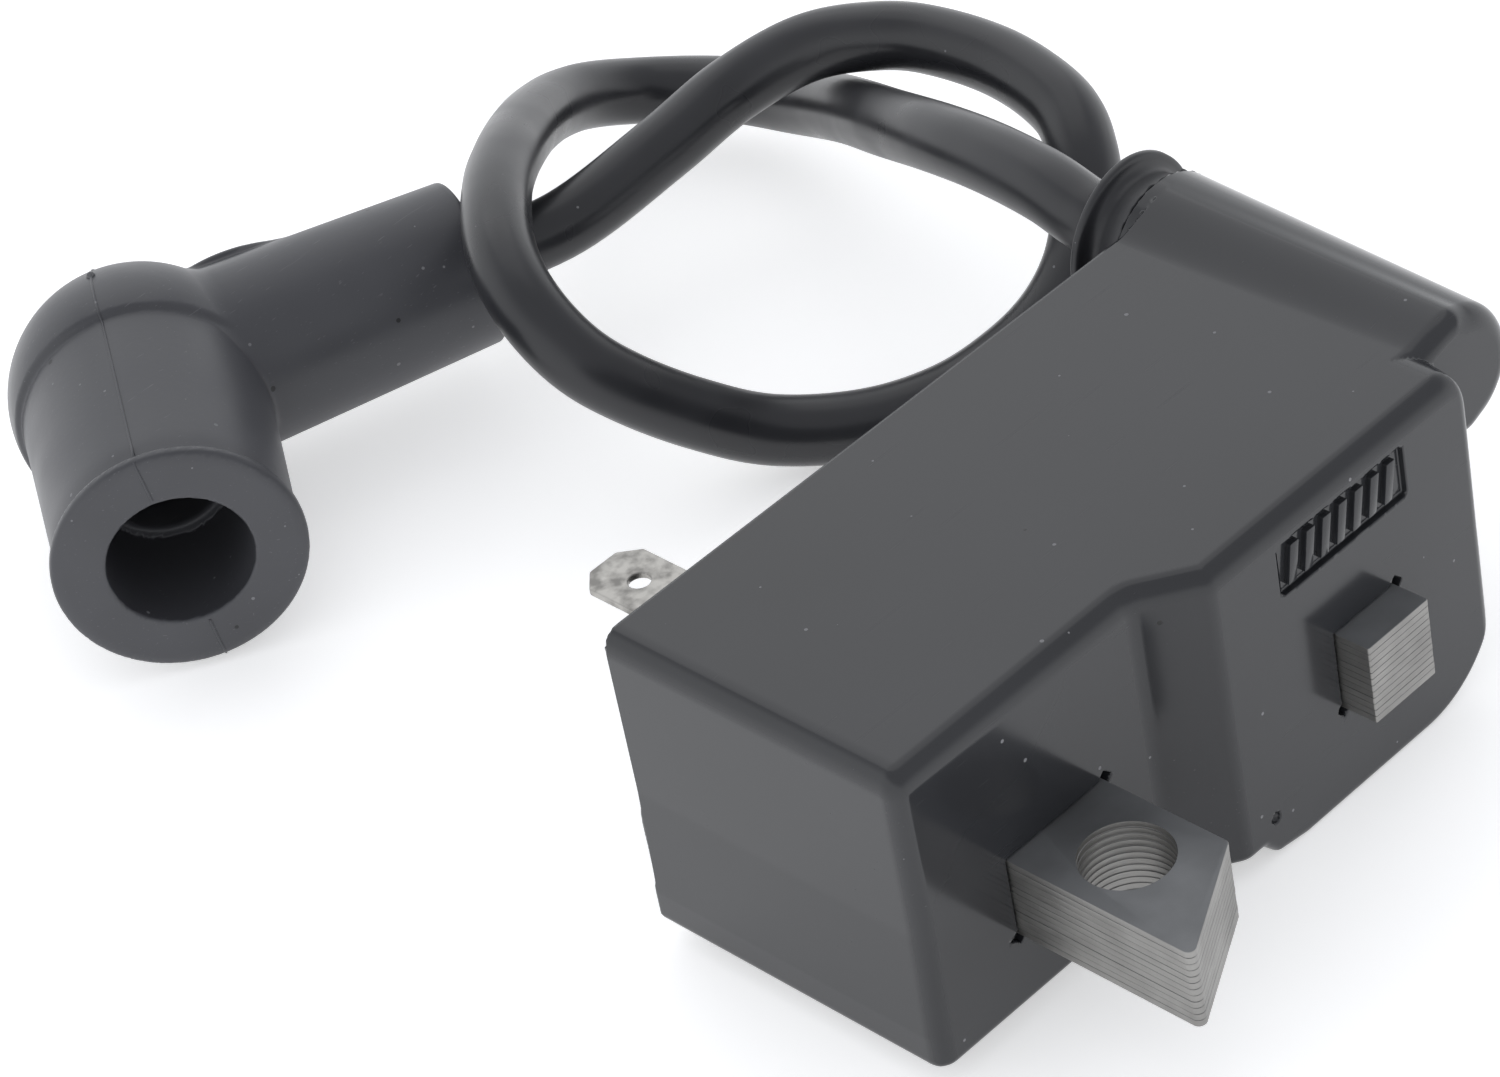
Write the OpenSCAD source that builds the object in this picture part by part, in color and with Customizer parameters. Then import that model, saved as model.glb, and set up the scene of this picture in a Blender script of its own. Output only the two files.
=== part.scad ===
// Small engine ignition coil: a potted black case on a laminated steel core, with a bolted
// mounting leg, a short pole, a flat stop terminal and a high tension lead tied in one loose
// overhand knot that ends in a rubber elbow boot.
// X runs along the case towards the lead tube, -Y is the way the core's legs point, +Z is up.
// The origin is under the middle of the rigid unit, on the plane that it stands on.

/* [Case] */
// Length of the case without the lead tube
case_length = 50.5; // [46:0.5:56]
// Depth of the case from its front face to its open back
case_depth = 24.5; // [23:0.5:28]
// Height of the case over the board end
case_height = 23; // [22:0.5:26]
// Wall thickness of the case
wall = 1.6; // [1.2:0.1:1.8]
// Distance that the coil chamber stands out of the front face
nose_reach = 3; // [2:0.5:4]
// Distance that the coil chamber drops below the rest of the case
chamber_drop = 1.7; // [1:0.1:2.5]
// Place along the case where the slope up to the coil chamber starts
slope_start = 21; // [19:0.5:22]
// Length of that slope
slope_length = 4; // [3:0.5:5]

/* [Core] */
// Number of stamped sheets in the core
sheet_count = 12; // [10:1:12]
// Height that each sheet takes in the stack
sheet_pitch = 0.5; // [0.45:0.05:0.5]
// Varnish gap between two sheets
sheet_gap = 0.04; // [0.02:0.01:0.06]
// Width of the mounting leg
leg_width = 8.8; // [8:0.2:9.4]
// Reach of the mounting leg's long edge in front of the case
leg_reach = 14.65; // [13:0.05:16]
// Reach of the mounting leg's short edge in front of the case
leg_short_reach = 9.85; // [9:0.05:11]
// Diameter of the bolt hole in the leg
bolt_hole_d = 6.2; // [5.4:0.1:6.4]
// Width of the pole
pole_width = 5.8; // [5:0.1:6]
// Reach of the pole in front of the case's main front face
pole_reach = 5.6; // [4.5:0.1:7]

/* [Stop terminal] */
// Width of the blade
blade_width = 4.8; // [4.8:0.1:6.3]
// Thickness of the blade
blade_thickness = 0.5; // [0.5:0.1:0.8]
// Reach of the blade behind the case
blade_reach = 7.5; // [6.5:0.1:9]

/* [Lead and boot] */
// Diameter of the high tension lead
lead_d = 5; // [4.6:0.1:5.2]
// Diameter of the boot's mouth, where the plug's insulator goes in
plug_bore_d = 10.1; // [9.5:0.1:10.4]
// Diameter of the boot's mouth flange
boot_flange_d = 17.6; // [16:0.2:18.4]
// Diameter of the boot's domed cap
boot_dome_d = 18.8; // [18:0.2:18.8]
// Length of the boot from the elbow to its mouth
boot_barrel_length = 21.2; // [19:0.1:23]
// Length of the boot from the elbow to the end of its lead sleeve
boot_sleeve_length = 25.5; // [24:0.5:26]

/* [Hidden] */

// Roundness of every curved surface
$fn = 48;
// Overrun that keeps cutting bodies clear of the faces they cut
over = 0.5;

// Lead tube: axis, radii and mouth
tube_x = case_length + 2.6;
tube_z = chamber_drop + case_height - 4.3;
tube_front_r = 4.6;
tube_back_r = 5.4;
tube_front_y = 0.4;
tube_mouth_y = case_depth + 1;
tube_bore_r = 3.4;
tube_bore_start = 2.4;

// Case
case_bottom = chamber_drop;
case_top = chamber_drop + case_height;
edge_r = 1.2;
nose_top_r = 3.4;
nose_low_r = 7.2;
chamber_low_r = 2.2;
chamber_x = slope_start + slope_length + 1.6;
nose_right_inset = 1.4;
dimple_x = chamber_x + 1.2;
dimple_z = 3.4;
dimple_r = 0.4;

// Framed plaque on the coil chamber
plaque_low = [30.9, case_top - 5.7];
plaque_high = [42.8, case_top - 1.9];
plaque_depth = 0.4;
bar_count = 7;
bar_margin = [0.6, 0.5];
bar_width = 0.7;
bar_height = 2.8;
bar_slant = 0.6;

// Core
stack_height = sheet_count * sheet_pitch;
stack_bottom = case_bottom + 5.5;
stack_top = stack_bottom + stack_height;
leg_x = 8;
pole_x = 35;
pole_mid_x = pole_x + pole_width / 2;
stack_mid_z = stack_bottom + stack_height / 2;
yoke_front_y = 16;
yoke_back_y = 21.6;
bolt_hole_y = -5.6;
rivet_r = 1;
rivet_head_r = 1.6;
rivet_head_h = 0.5;
rivet_y = (yoke_front_y + yoke_back_y) / 2;
rivet_places = [leg_x + leg_width + 2.5, pole_x - 2.5];
rivet_gap = 0.02;
window_gap = 0.08;
relief_size = 0.9;
relief_depth = 0.8;

// Flange of the bushing, the blade's tip and the middle of the rigid unit
bushing_flange_r = 5.8;
bushing_neck_r = 4.7;
bushing_flange_y = tube_mouth_y + 2.5;
bushing_flange_t = 0.8;
bushing_body_start = 15;
unit_length = tube_x + bushing_flange_r;
blade_tip_y = case_depth + blade_reach;
mid_x = unit_length / 2;
mid_y = (blade_tip_y - leg_reach) / 2;

// Blade of the stop terminal
blade_x = 5;
blade_z = case_top - wall - 0.7 - blade_thickness;
blade_foot_y = 19.4;
blade_hole_d = 1.5;
blade_hole_inset = 3.3;
blade_chamfer = 1.2;

// Resin layer at the open back
potting_start = 22.3;
potting_end = case_depth - 0.3;

// Coil: half widths of each layer around the pole
former_gap = 0.1;
former_wall = 0.7;
former_start = -0.9;
former_end = 15.6;
former_flange = 1;
former_half = pole_width / 2 + former_gap + former_wall;
primary_half = former_half + 0.8;
shell_inner_half = primary_half + 0.15;
shell_half = shell_inner_half + 0.6;
shell_flange_half = 8.2;
secondary_half = 7.7;
shell_flange_t = 0.8;
chamber_count = 6;
trigger_length = 3;
trigger_start = former_end - former_flange - trigger_length;
shell_start = former_start;
shell_end = trigger_start - former_flange;
shell_pitch = (shell_end - shell_start - shell_flange_t) / chamber_count;
winding_gap = 0.05;
bond = 0.1;

// Wires from the coil to the board and to the high tension spike
link_r = 0.25;
link_count = 4;
link_pitch = [1.4, 0.55, 0.7];
ht_y = 3;
ht_link_x = pole_mid_x + 5;

// Board
board_x = 2.6;
board_y = 3.4;
board_length = 21.6;
board_width = 17;
board_t = 1;
board_z = stack_top + 1.4;
board_top = board_z + board_t;
board_edge_x = board_x + board_length;
board_hole_r = 0.6;
leg_wire_r = 0.22;

// Lead inside the tube
lead_r = lead_d / 2;
lead_start_y = 7;
core_wire_r = 0.8;
core_wire_length = 1.6;
fit_gap = 0.05;

// Boot: elbow centre, directions and wall sizes
elbow = [-17, 78.6, boot_dome_d / 2];
sleeve_angle = -20;
barrel_angle = -103;
sleeve_root_r = 6.9;
sleeve_tip_r = 5.9;
barrel_root_r = 8.8;
barrel_mouth_r = 8.3;
mouth_flange_t = 1.5;
cap_edge = 2.4;
plug_bore_length = 11;
spring_bore_r = 4.3;
lead_end = 7;
hook_r = 0.6;
spring_wire_r = 0.4;
spring_r = 3;
spring_turns = 5;
spring_pitch = 1.3;
hook_disc_t = 1.2;
press = 0.05;
spring_start = hook_disc_t - hook_r + spring_wire_r - press;

// Route of the lead's middle line in the part's frame, from inside the tube to inside the boot.
// It leaves straight back, crosses the box end of the loop, and ends along the boot's sleeve.
route = concat(
    [[tube_x - mid_x, lead_start_y - mid_y, tube_z],
     [tube_x - mid_x, 10, tube_z],
     [tube_x - mid_x, 20.8, tube_z],
     [tube_x - mid_x, 23.5, tube_z + 0.1]],
    [[24.3, 28, 20.9], [25.4, 34, 20.3], [27, 40.5, 18.6], [30.5, 49.5, 14.6],
     [35, 59, 9.7], [37.5, 67.5, 6], [37, 74.5, 4.8], [33, 79.3, 5.4],
     [27, 80, 8], [19.5, 76, 11.7], [11, 69, 15.5], [5.5, 63.5, 17.2],
     [1.5, 58.5, 17.3], [-0.3, 54.3, 15.8], [0, 51, 13], [2, 48.7, 10],
     [5.5, 46, 6.5], [9.5, 43, 3.7], [14.5, 39, 2.6], [19.5, 36, 2.8],
     [24, 34.2, 4], [27.6, 33, 6], [30.6, 32.7, 8.7], [33, 33.5, 11.7],
     [35.4, 35.6, 14], [37.8, 39.5, 15.2], [39.2, 46, 15.6], [38.9, 52.5, 15.6],
     [37.4, 57, 15.4], [34.4, 61.6, 14.5], [29.5, 64.8, 12.6], [23, 66, 10.9]],
    [for (reach = [33, 25, 16, lead_end]) elbow + reach * [cos(sleeve_angle), sin(sleeve_angle), 0]]);
ring_sides = 10;

// Moves a shape from the case's corner frame to the part's frame.
module placed() {
    translate([-mid_x, -mid_y, 0]) children();
}

// A block given by its low corner and its high corner.
module block(low, high) {
    translate(low) cube(high - low);
}

// A rectangle with its own radius at each corner: low left, low right, high right, high left.
module rounded_panel(low, high, radii) {
    corners = [low, [high[0], low[1]], high, [low[0], high[1]]];
    difference() {
        translate(low) square(high - low);
        for (i = [0:3]) translate(corners[i]) rotate(90 * i) difference() {
            translate([-over, -over]) square(radii[i] + over);
            translate([radii[i], radii[i]]) circle(r = radii[i]);
        }
    }
}

// Extrudes a profile drawn in X and Z along Y, from one Y to another.
module along_y(from_y, to_y) {
    translate([0, to_y, 0]) rotate([90, 0, 0]) linear_extrude(height = to_y - from_y) children();
}

// A round bar along Y.
module bar_y(x, z, r1, r2, from_y, to_y) {
    translate([x, from_y, z]) rotate([-90, 0, 0]) cylinder(r1 = r1, r2 = r2, h = to_y - from_y);
}

// A square ring around the pole, given by its half widths and its stretch along Y.
module pole_ring(inner_half, outer_half, corner_r, from_y, to_y) {
    translate([pole_mid_x, 0, stack_mid_z]) along_y(from_y, to_y) difference() {
        rounded_panel([-outer_half, -outer_half], [outer_half, outer_half], [for (i = [0:3]) corner_r]);
        square([2 * inner_half, 2 * inner_half], center = true);
    }
}

// Outline of the case seen from the front, smaller by a margin all round.
module case_outline(margin) {
    r = max(edge_r - margin, 0.2);
    rounded_panel([margin, case_bottom + margin], [chamber_x + 6, case_top - margin], [r, 0.2, 0.2, r]);
    rounded_panel([chamber_x + margin, margin], [case_length - margin, case_top - margin],
        [max(chamber_low_r - margin, 0.2), nose_low_r - margin, 0.4, 0.2]);
}

// Stepped front of the coil chamber, smaller by a margin all round.
module nose(margin) {
    front = -nose_reach + margin;
    intersection() {
        translate([0, 0, -over]) linear_extrude(height = case_top + 2 * over) polygon([
            [slope_start + margin, 0.6 + margin], [slope_start + margin, margin],
            [slope_start + slope_length + margin * 0.7, front],
            [case_length - nose_right_inset - margin, front], [case_length - margin, 0.6 + margin]]);
        along_y(-nose_reach - over, 1 + margin) union() {
            rounded_panel([slope_start + margin, case_bottom + margin], [chamber_x + 6, case_top - margin],
                [0.2, 0.2, 0.2, 0.2]);
            rounded_panel([chamber_x + margin, margin], [case_length - margin, case_top - margin],
                [max(chamber_low_r - margin, 0.2), nose_low_r - margin, nose_top_r - margin, 0.2]);
        }
    }
}

// Window for one leg of the core, with the relief nicks at two of its corners.
module core_window(low_x, width) {
    block([low_x - window_gap, -nose_reach - over, stack_bottom - window_gap],
        [low_x + width + window_gap, wall + over, stack_top + window_gap]);
    for (corner = [[low_x + width, stack_top], [low_x, stack_bottom]])
        translate([corner[0], -nose_reach - over, corner[1]]) rotate([-90, 0, 0])
            linear_extrude(height = nose_reach + over + relief_depth) rotate(45)
                square(relief_size, center = true);
}

// Shallow pocket of the plaque.
module plaque_pocket() {
    block([plaque_low[0], -nose_reach - over, plaque_low[1]],
        [plaque_high[0], -nose_reach + plaque_depth, plaque_high[1]]);
}

// Plain slanted bars that stand in the pocket.
module plaque_bars() {
    pitch = (plaque_high[0] - plaque_low[0] - 2 * bar_margin[0]) / bar_count;
    for (i = [0:bar_count - 1])
        translate([plaque_low[0] + bar_margin[0] + i * pitch, 0, plaque_low[1] + bar_margin[1]])
            along_y(-nose_reach, -nose_reach + wall / 2) polygon([[0, 0], [bar_width, 0],
                [bar_width + bar_slant, bar_height], [bar_slant, bar_height]]);
}

module housing() {
    color([0.09, 0.09, 0.1]) placed() {
        difference() {
            union() {
                along_y(0, case_depth) case_outline(0);
                nose(0);
                bar_y(tube_x, tube_z, tube_front_r, tube_back_r, tube_front_y, tube_mouth_y);
            }
            difference() {
                union() {
                    along_y(wall, case_depth + over) case_outline(wall);
                    nose(wall);
                }
                bar_y(tube_x, tube_z, tube_front_r, tube_back_r, tube_front_y, tube_mouth_y);
            }
            bar_y(tube_x, tube_z, tube_bore_r, tube_bore_r, tube_bore_start, tube_mouth_y + over);
            translate([case_length - 6, ht_y, tube_z]) rotate([0, 90, 0])
                cylinder(r = 4 * link_r, h = tube_x + 6 - case_length);
            core_window(leg_x, leg_width);
            core_window(pole_x, pole_width);
            plaque_pocket();
            bar_y(dimple_x, dimple_z, dimple_r, dimple_r, -nose_reach - over, -nose_reach + dimple_r);
        }
        plaque_bars();
    }
}

module potting() {
    color([0.05, 0.05, 0.055]) placed() difference() {
        along_y(potting_start, potting_end) case_outline(wall);
        bar_y(tube_x, tube_z, tube_front_r + 0.9, tube_back_r + 0.1, tube_front_y, tube_mouth_y);
        block([blade_x - fit_gap, potting_start - over, blade_z - fit_gap],
            [blade_x + blade_width + fit_gap, case_depth + over, blade_z + blade_thickness + fit_gap]);
    }
}

// One stamped sheet: mounting leg with its angled end, hidden yoke and short pole.
module sheet() {
    linear_extrude(height = sheet_pitch - sheet_gap) difference() {
        polygon([
            [leg_x, -leg_reach], [leg_x + leg_width, -leg_short_reach],
            [leg_x + leg_width, yoke_front_y], [pole_x, yoke_front_y],
            [pole_x, -pole_reach], [pole_x + pole_width, -pole_reach],
            [pole_x + pole_width, yoke_back_y], [leg_x, yoke_back_y]]);
        translate([leg_x + leg_width / 2, bolt_hole_y]) circle(d = bolt_hole_d);
        for (x = rivet_places) translate([x, rivet_y]) circle(r = rivet_r + rivet_gap);
    }
}

module core_sheets() {
    color([0.5, 0.51, 0.52]) placed() for (i = [0:sheet_count - 1])
        translate([0, 0, stack_bottom + i * sheet_pitch + sheet_gap / 2]) sheet();
}

module core_rivets() {
    color([0.62, 0.62, 0.6]) placed() for (x = rivet_places)
        translate([x, rivet_y, stack_bottom - rivet_head_h]) {
            cylinder(r = rivet_head_r, h = rivet_head_h);
            cylinder(r = rivet_r, h = stack_height + 2 * rivet_head_h);
            translate([0, 0, stack_height + rivet_head_h]) cylinder(r = rivet_head_r, h = rivet_head_h);
        }
}

module primary_bobbin() {
    color([0.85, 0.82, 0.72]) placed() {
        pole_ring(stack_height / 2 + former_gap, former_half + bond, 0.5, former_start, former_end);
        for (y = [former_start, former_end - former_flange, trigger_start - former_flange])
            pole_ring(former_half, primary_half, 0.8, y, y + former_flange);
    }
}

module primary_winding() {
    color([0.72, 0.38, 0.2]) placed()
        pole_ring(former_half + bond + winding_gap, primary_half - winding_gap, 0.8,
            former_start + former_flange + winding_gap, trigger_start - former_flange - winding_gap);
}

module trigger_winding() {
    color([0.66, 0.3, 0.16]) placed()
        pole_ring(former_half + bond + winding_gap, primary_half - 3 * winding_gap, 0.8,
            trigger_start + winding_gap, former_end - former_flange - winding_gap);
}

// The outer former: a square tube with walls that part it into wire chambers.
module secondary_bobbin() {
    color([0.88, 0.86, 0.78]) placed() {
        pole_ring(shell_inner_half, shell_half, 1, shell_start, shell_end);
        for (i = [0:chamber_count])
            pole_ring(shell_half - bond, shell_flange_half, 1.6, shell_start + i * shell_pitch,
                shell_start + i * shell_pitch + shell_flange_t);
    }
}

module secondary_winding() {
    color([0.6, 0.26, 0.14]) placed() for (i = [0:chamber_count - 1])
        pole_ring(shell_half + winding_gap, secondary_half, 1.5,
            shell_start + i * shell_pitch + shell_flange_t + winding_gap,
            shell_start + (i + 1) * shell_pitch - winding_gap);
}

// A wire of straight stretches with round joints through a list of points.
module wire(points, r) {
    for (i = [0:len(points) - 2]) {
        step = points[i + 1] - points[i];
        length = norm(step);
        translate(points[i]) rotate([0, acos(step[2] / length), atan2(step[1], step[0])])
            cylinder(r = r, h = length, $fn = 16);
        translate(points[i]) sphere(r = r, $fn = 16);
    }
}

// Wires from the coil's inner end to the edge of the board.
module coil_links() {
    foot_x = board_edge_x - 1.2;
    coil_top = stack_mid_z + primary_half + bond;
    color([0.72, 0.38, 0.2]) placed() for (i = [0:link_count - 1]) {
        bend = [pole_mid_x - 3, trigger_start + 0.6, board_top + 1.2] + i * link_pitch;
        wire([[bend[0], bend[1], coil_top], bend, [foot_x, bend[1], bend[2]], [foot_x, bend[1], board_top]],
            link_r);
    }
}

// High tension disc on the lead tube's axis, with the spike that meets the lead's wire.
module ht_terminal() {
    disc_r = tube_bore_r - 0.1;
    disc_start = tube_bore_start + 0.02;
    disc_end = tube_bore_start + 1.2;
    color([0.78, 0.66, 0.36]) placed() {
        bar_y(tube_x, tube_z, disc_r, disc_r, disc_start, disc_end);
        bar_y(tube_x, tube_z, 0.6, 0.6, disc_end - bond, lead_start_y - core_wire_length);
    }
}

// Wire that feeds the high tension disc.
module ht_link() {
    coil_top = stack_mid_z + shell_flange_half + 1.2 * link_r;
    color([0.72, 0.38, 0.2]) placed() wire([[ht_link_x, ht_y, coil_top], [ht_link_x, ht_y, tube_z],
        [tube_x - tube_bore_r + 0.08, ht_y, tube_z]], link_r);
}

module circuit_board() {
    color([0.16, 0.36, 0.2]) placed() difference() {
        block([board_x, board_y, board_z], [board_x + board_length, board_y + board_width, board_top]);
        for (x = [board_x + 1.4, board_edge_x - 2.6])
            translate([x, board_y + 1.4, board_z - over]) cylinder(r = board_hole_r, h = board_t + 2 * over);
    }
}

// Three-legged power transistor lying on the board.
module power_transistor() {
    body = [6.4, 6.2, 2.3];
    foot = [0.6, 1.5, 0.4];
    color([0.1, 0.1, 0.11]) placed() translate([board_x + 1.4, board_y + 2.2, board_top]) {
        translate([0, 0, 0.3]) cube(body);
        translate([foot[2], body[1], 0.3]) cube([body[0] - 2 * foot[2], 1.2, 0.5]);
        for (x = [0.7, 2.9, 5.1]) {
            translate([x, -1.4, 0]) cube(foot);
            translate([x, -foot[2], 0]) cube([foot[0], foot[2] + bond, 1]);
        }
    }
}

// Small transistor with one flat side, standing on three legs.
module trigger_transistor() {
    r = 2.3;
    height = 4.4;
    leg_length = 1;
    color([0.08, 0.08, 0.09]) placed() translate([board_x + 10.8, board_y + 11.2, board_top]) {
        translate([0, 0, leg_length]) intersection() {
            cylinder(r = r, h = height);
            block([-r, -1.5, 0], [r, r, height]);
        }
        for (x = [-1.2, 0, 1.2]) translate([x, 0, 0])
            cylinder(r = leg_wire_r, h = leg_length + bond, $fn = 16);
    }
}

module capacitor() {
    body = [7, 3.6, 5.4];
    lift = 0.4;
    color([0.7, 0.28, 0.12]) placed() translate([board_x + 10, board_y + 2.6, board_top]) {
        translate([0, 0, lift]) cube(body);
        for (x = [1, body[0] - 1]) translate([x, body[1] / 2, 0])
            cylinder(r = leg_wire_r, h = lift + bond, $fn = 16);
    }
}

// Axial part on two bent legs: a body with end caps along X.
module axial_part(place, body_r, body_length, leg_span) {
    cap_length = 1;
    axis_z = body_r + 0.3;
    foot_x = leg_span / 2;
    translate([board_x, board_y, board_top] + place) {
        translate([-body_length / 2, 0, axis_z]) rotate([0, 90, 0])
            cylinder(r = body_r * 0.86, h = body_length, $fn = 32);
        for (end = [-1, 1]) {
            translate([end * (body_length - cap_length) / 2 - cap_length / 2, 0, axis_z]) rotate([0, 90, 0])
                cylinder(r = body_r, h = cap_length, $fn = 32);
            wire([[end * body_length / 2, 0, axis_z], [end * foot_x, 0, axis_z], [end * foot_x, 0, 0]],
                leg_wire_r);
        }
    }
}

module resistors() {
    color([0.76, 0.66, 0.5]) placed() for (y = [8, 14.4]) axial_part([16.4, y, 0], 0.9, 3.8, 6.4);
}

module diode() {
    color([0.12, 0.12, 0.13]) placed() axial_part([4.6, 12.2, 0], 1.1, 3.8, 6);
}

// Bent strip that presses the board's ground pad to the top sheet of the core.
module ground_spring() {
    strip = [4, 3, 0.3];
    gap = board_z - stack_top;
    color([0.8, 0.8, 0.78]) placed() translate([leg_x + 2.4, 8, stack_top]) {
        cube(strip);
        translate([strip[0] - strip[2], 0, 0]) cube([strip[2], strip[1], gap]);
        translate([0, 0, gap - strip[2]]) cube(strip);
    }
}

module stop_terminal() {
    color([0.72, 0.71, 0.68]) placed() difference() {
        union() {
            translate([0, 0, blade_z]) linear_extrude(height = blade_thickness) polygon([
                [blade_x, blade_foot_y], [blade_x + blade_width, blade_foot_y],
                [blade_x + blade_width, blade_tip_y - blade_chamfer],
                [blade_x + blade_width - blade_chamfer, blade_tip_y], [blade_x + blade_chamfer, blade_tip_y],
                [blade_x, blade_tip_y - blade_chamfer]]);
            block([blade_x, blade_foot_y, board_top],
                [blade_x + blade_width, blade_foot_y + blade_thickness, blade_z + bond]);
        }
        translate([blade_x + blade_width / 2, blade_tip_y - blade_hole_inset, blade_z - over])
            cylinder(d = blade_hole_d, h = blade_thickness + 2 * over);
    }
}

module lead_bushing() {
    body_r = tube_bore_r - 0.02;
    bore_r = lead_r + fit_gap;
    flange_end = bushing_flange_y + bushing_flange_t;
    color([0.07, 0.07, 0.075]) placed() difference() {
        union() {
            bar_y(tube_x, tube_z, body_r, body_r, bushing_body_start, tube_mouth_y + bond);
            bar_y(tube_x, tube_z, bushing_neck_r, bushing_neck_r - 0.2, tube_mouth_y,
                bushing_flange_y + bond);
            bar_y(tube_x, tube_z, bushing_flange_r, bushing_flange_r, bushing_flange_y, flange_end);
        }
        bar_y(tube_x, tube_z, bore_r, bore_r, bushing_body_start - over, flange_end + over);
    }
}

// Smooth curve through a route: the point at a fraction t of the stretch after point i.
function spline(p, i, t) =
    let (a = p[max(i - 1, 0)], b = p[i], c = p[i + 1], d = p[min(i + 2, len(p) - 1)])
    0.5 * ((2 * b) + (c - a) * t + (2 * a - 5 * b + 4 * c - d) * t * t + (3 * b - a - 3 * c + d) * t * t * t);
function unit(v) = v / norm(v);
function middle_line(p) = concat([for (i = [0:len(p) - 2], t = [0, 0.5]) spline(p, i, t)], [p[len(p) - 1]]);
function heading(line, i) = unit(line[min(i + 1, len(line) - 1)] - line[max(i - 1, 0)]);
function ring(centre, ahead, side, r, sides) =
    [for (k = [0:sides - 1]) let (turn = 360 * k / sides)
        centre + r * (cos(turn) * side + sin(turn) * cross(ahead, side))];
function level_side(ahead) = unit(cross([0, 0, 1], ahead));

// A tube swept along a line: one ring of points for each of the line's points. Each ring starts
// on the side given for it, at right angles to the line.
module swept_tube(line, sides_of_line, r, sides) {
    last = (len(line) - 1) * sides;
    points = [for (i = [0:len(line) - 1]) each ring(line[i], heading(line, i), sides_of_line[i], r, sides)];
    walls = [for (i = [0:len(line) - 2], k = [0:sides - 1])
        let (a = i * sides + k, b = i * sides + (k + 1) % sides) [a, a + sides, b + sides, b]];
    polyhedron(points = points, faces = concat(walls,
        [[for (k = [0:sides - 1]) k]], [[for (k = [sides - 1:-1:0]) last + k]]));
}

module lead_jacket() {
    line = middle_line(route);
    color([0.06, 0.06, 0.065])
        swept_tube(line, [for (i = [0:len(line) - 1]) level_side(heading(line, i))], lead_r, ring_sides);
}

// Bare wire at each end of the lead.
module lead_cores() {
    color([0.75, 0.45, 0.25]) {
        placed() bar_y(tube_x, tube_z, core_wire_r, core_wire_r,
            lead_start_y - core_wire_length, lead_start_y);
        boot_frame() translate([lead_end - core_wire_length, 0, 0]) rotate([0, 90, 0])
            cylinder(r = core_wire_r, h = core_wire_length);
    }
}

// The boot's frame: the elbow's centre, with X along the lead sleeve.
module boot_frame() {
    translate(elbow) rotate([0, 0, sleeve_angle]) children();
}

// Turns a shape drawn along +Z so that it runs from the elbow to the boot's mouth.
module towards_mouth() {
    rotate([0, 90, barrel_angle]) children();
}

module boot() {
    color([0.1, 0.1, 0.11]) boot_frame() difference() {
        union() {
            towards_mouth() {
                intersection() {
                    sphere(d = boot_dome_d);
                    translate([0, 0, cap_edge - boot_dome_d]) cylinder(d = boot_dome_d + 1, h = boot_dome_d);
                }
                cylinder(r1 = barrel_root_r, r2 = barrel_mouth_r, h = boot_barrel_length);
                translate([0, 0, boot_barrel_length - mouth_flange_t])
                    cylinder(d = boot_flange_d, h = mouth_flange_t);
            }
            rotate([0, 90, 0]) cylinder(r1 = sleeve_root_r, r2 = sleeve_tip_r, h = boot_sleeve_length);
        }
        towards_mouth() {
            translate([0, 0, boot_barrel_length - plug_bore_length])
                cylinder(d = plug_bore_d, h = plug_bore_length + over);
            translate([0, 0, -spring_bore_r]) cylinder(r = spring_bore_r, h = boot_barrel_length);
        }
        rotate([0, 90, 0]) cylinder(r = lead_r + fit_gap, h = boot_sleeve_length + over);
    }
}

// Coil spring that grips the plug's terminal.
module plug_spring() {
    steps = 12;
    wire_sides = 6;
    outward = [for (i = [0:spring_turns * steps]) [cos(360 * i / steps), sin(360 * i / steps), 0]];
    coil = [for (i = [0:spring_turns * steps])
        spring_r * outward[i] + [0, 0, spring_start + spring_pitch * i / steps]];
    color([0.7, 0.7, 0.7]) boot_frame() towards_mouth() swept_tube(coil, outward, spring_wire_r, wire_sides);
}

// Pin on the lead's axis that meets the bare wire, with the disc that is pressed into the boot
// and carries the spring.
module contact_hook() {
    color([0.7, 0.7, 0.7]) boot_frame() {
        rotate([0, 90, 0]) cylinder(r = hook_r, h = lead_end - core_wire_length - fit_gap);
        towards_mouth() translate([0, 0, -hook_r]) cylinder(r = spring_bore_r + press, h = hook_disc_t);
    }
}

housing();
potting();
core_sheets();
core_rivets();
primary_bobbin();
primary_winding();
trigger_winding();
secondary_bobbin();
secondary_winding();
coil_links();
ht_terminal();
ht_link();
circuit_board();
power_transistor();
trigger_transistor();
capacitor();
resistors();
diode();
ground_spring();
stop_terminal();
lead_bushing();
lead_jacket();
lead_cores();
boot();
plug_spring();
contact_hook();
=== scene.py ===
import math

import bmesh
import bpy
import numpy as np
from bpy.props import FloatProperty, FloatVectorProperty, IntProperty, PointerProperty
from mathutils import Matrix, Vector


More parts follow.
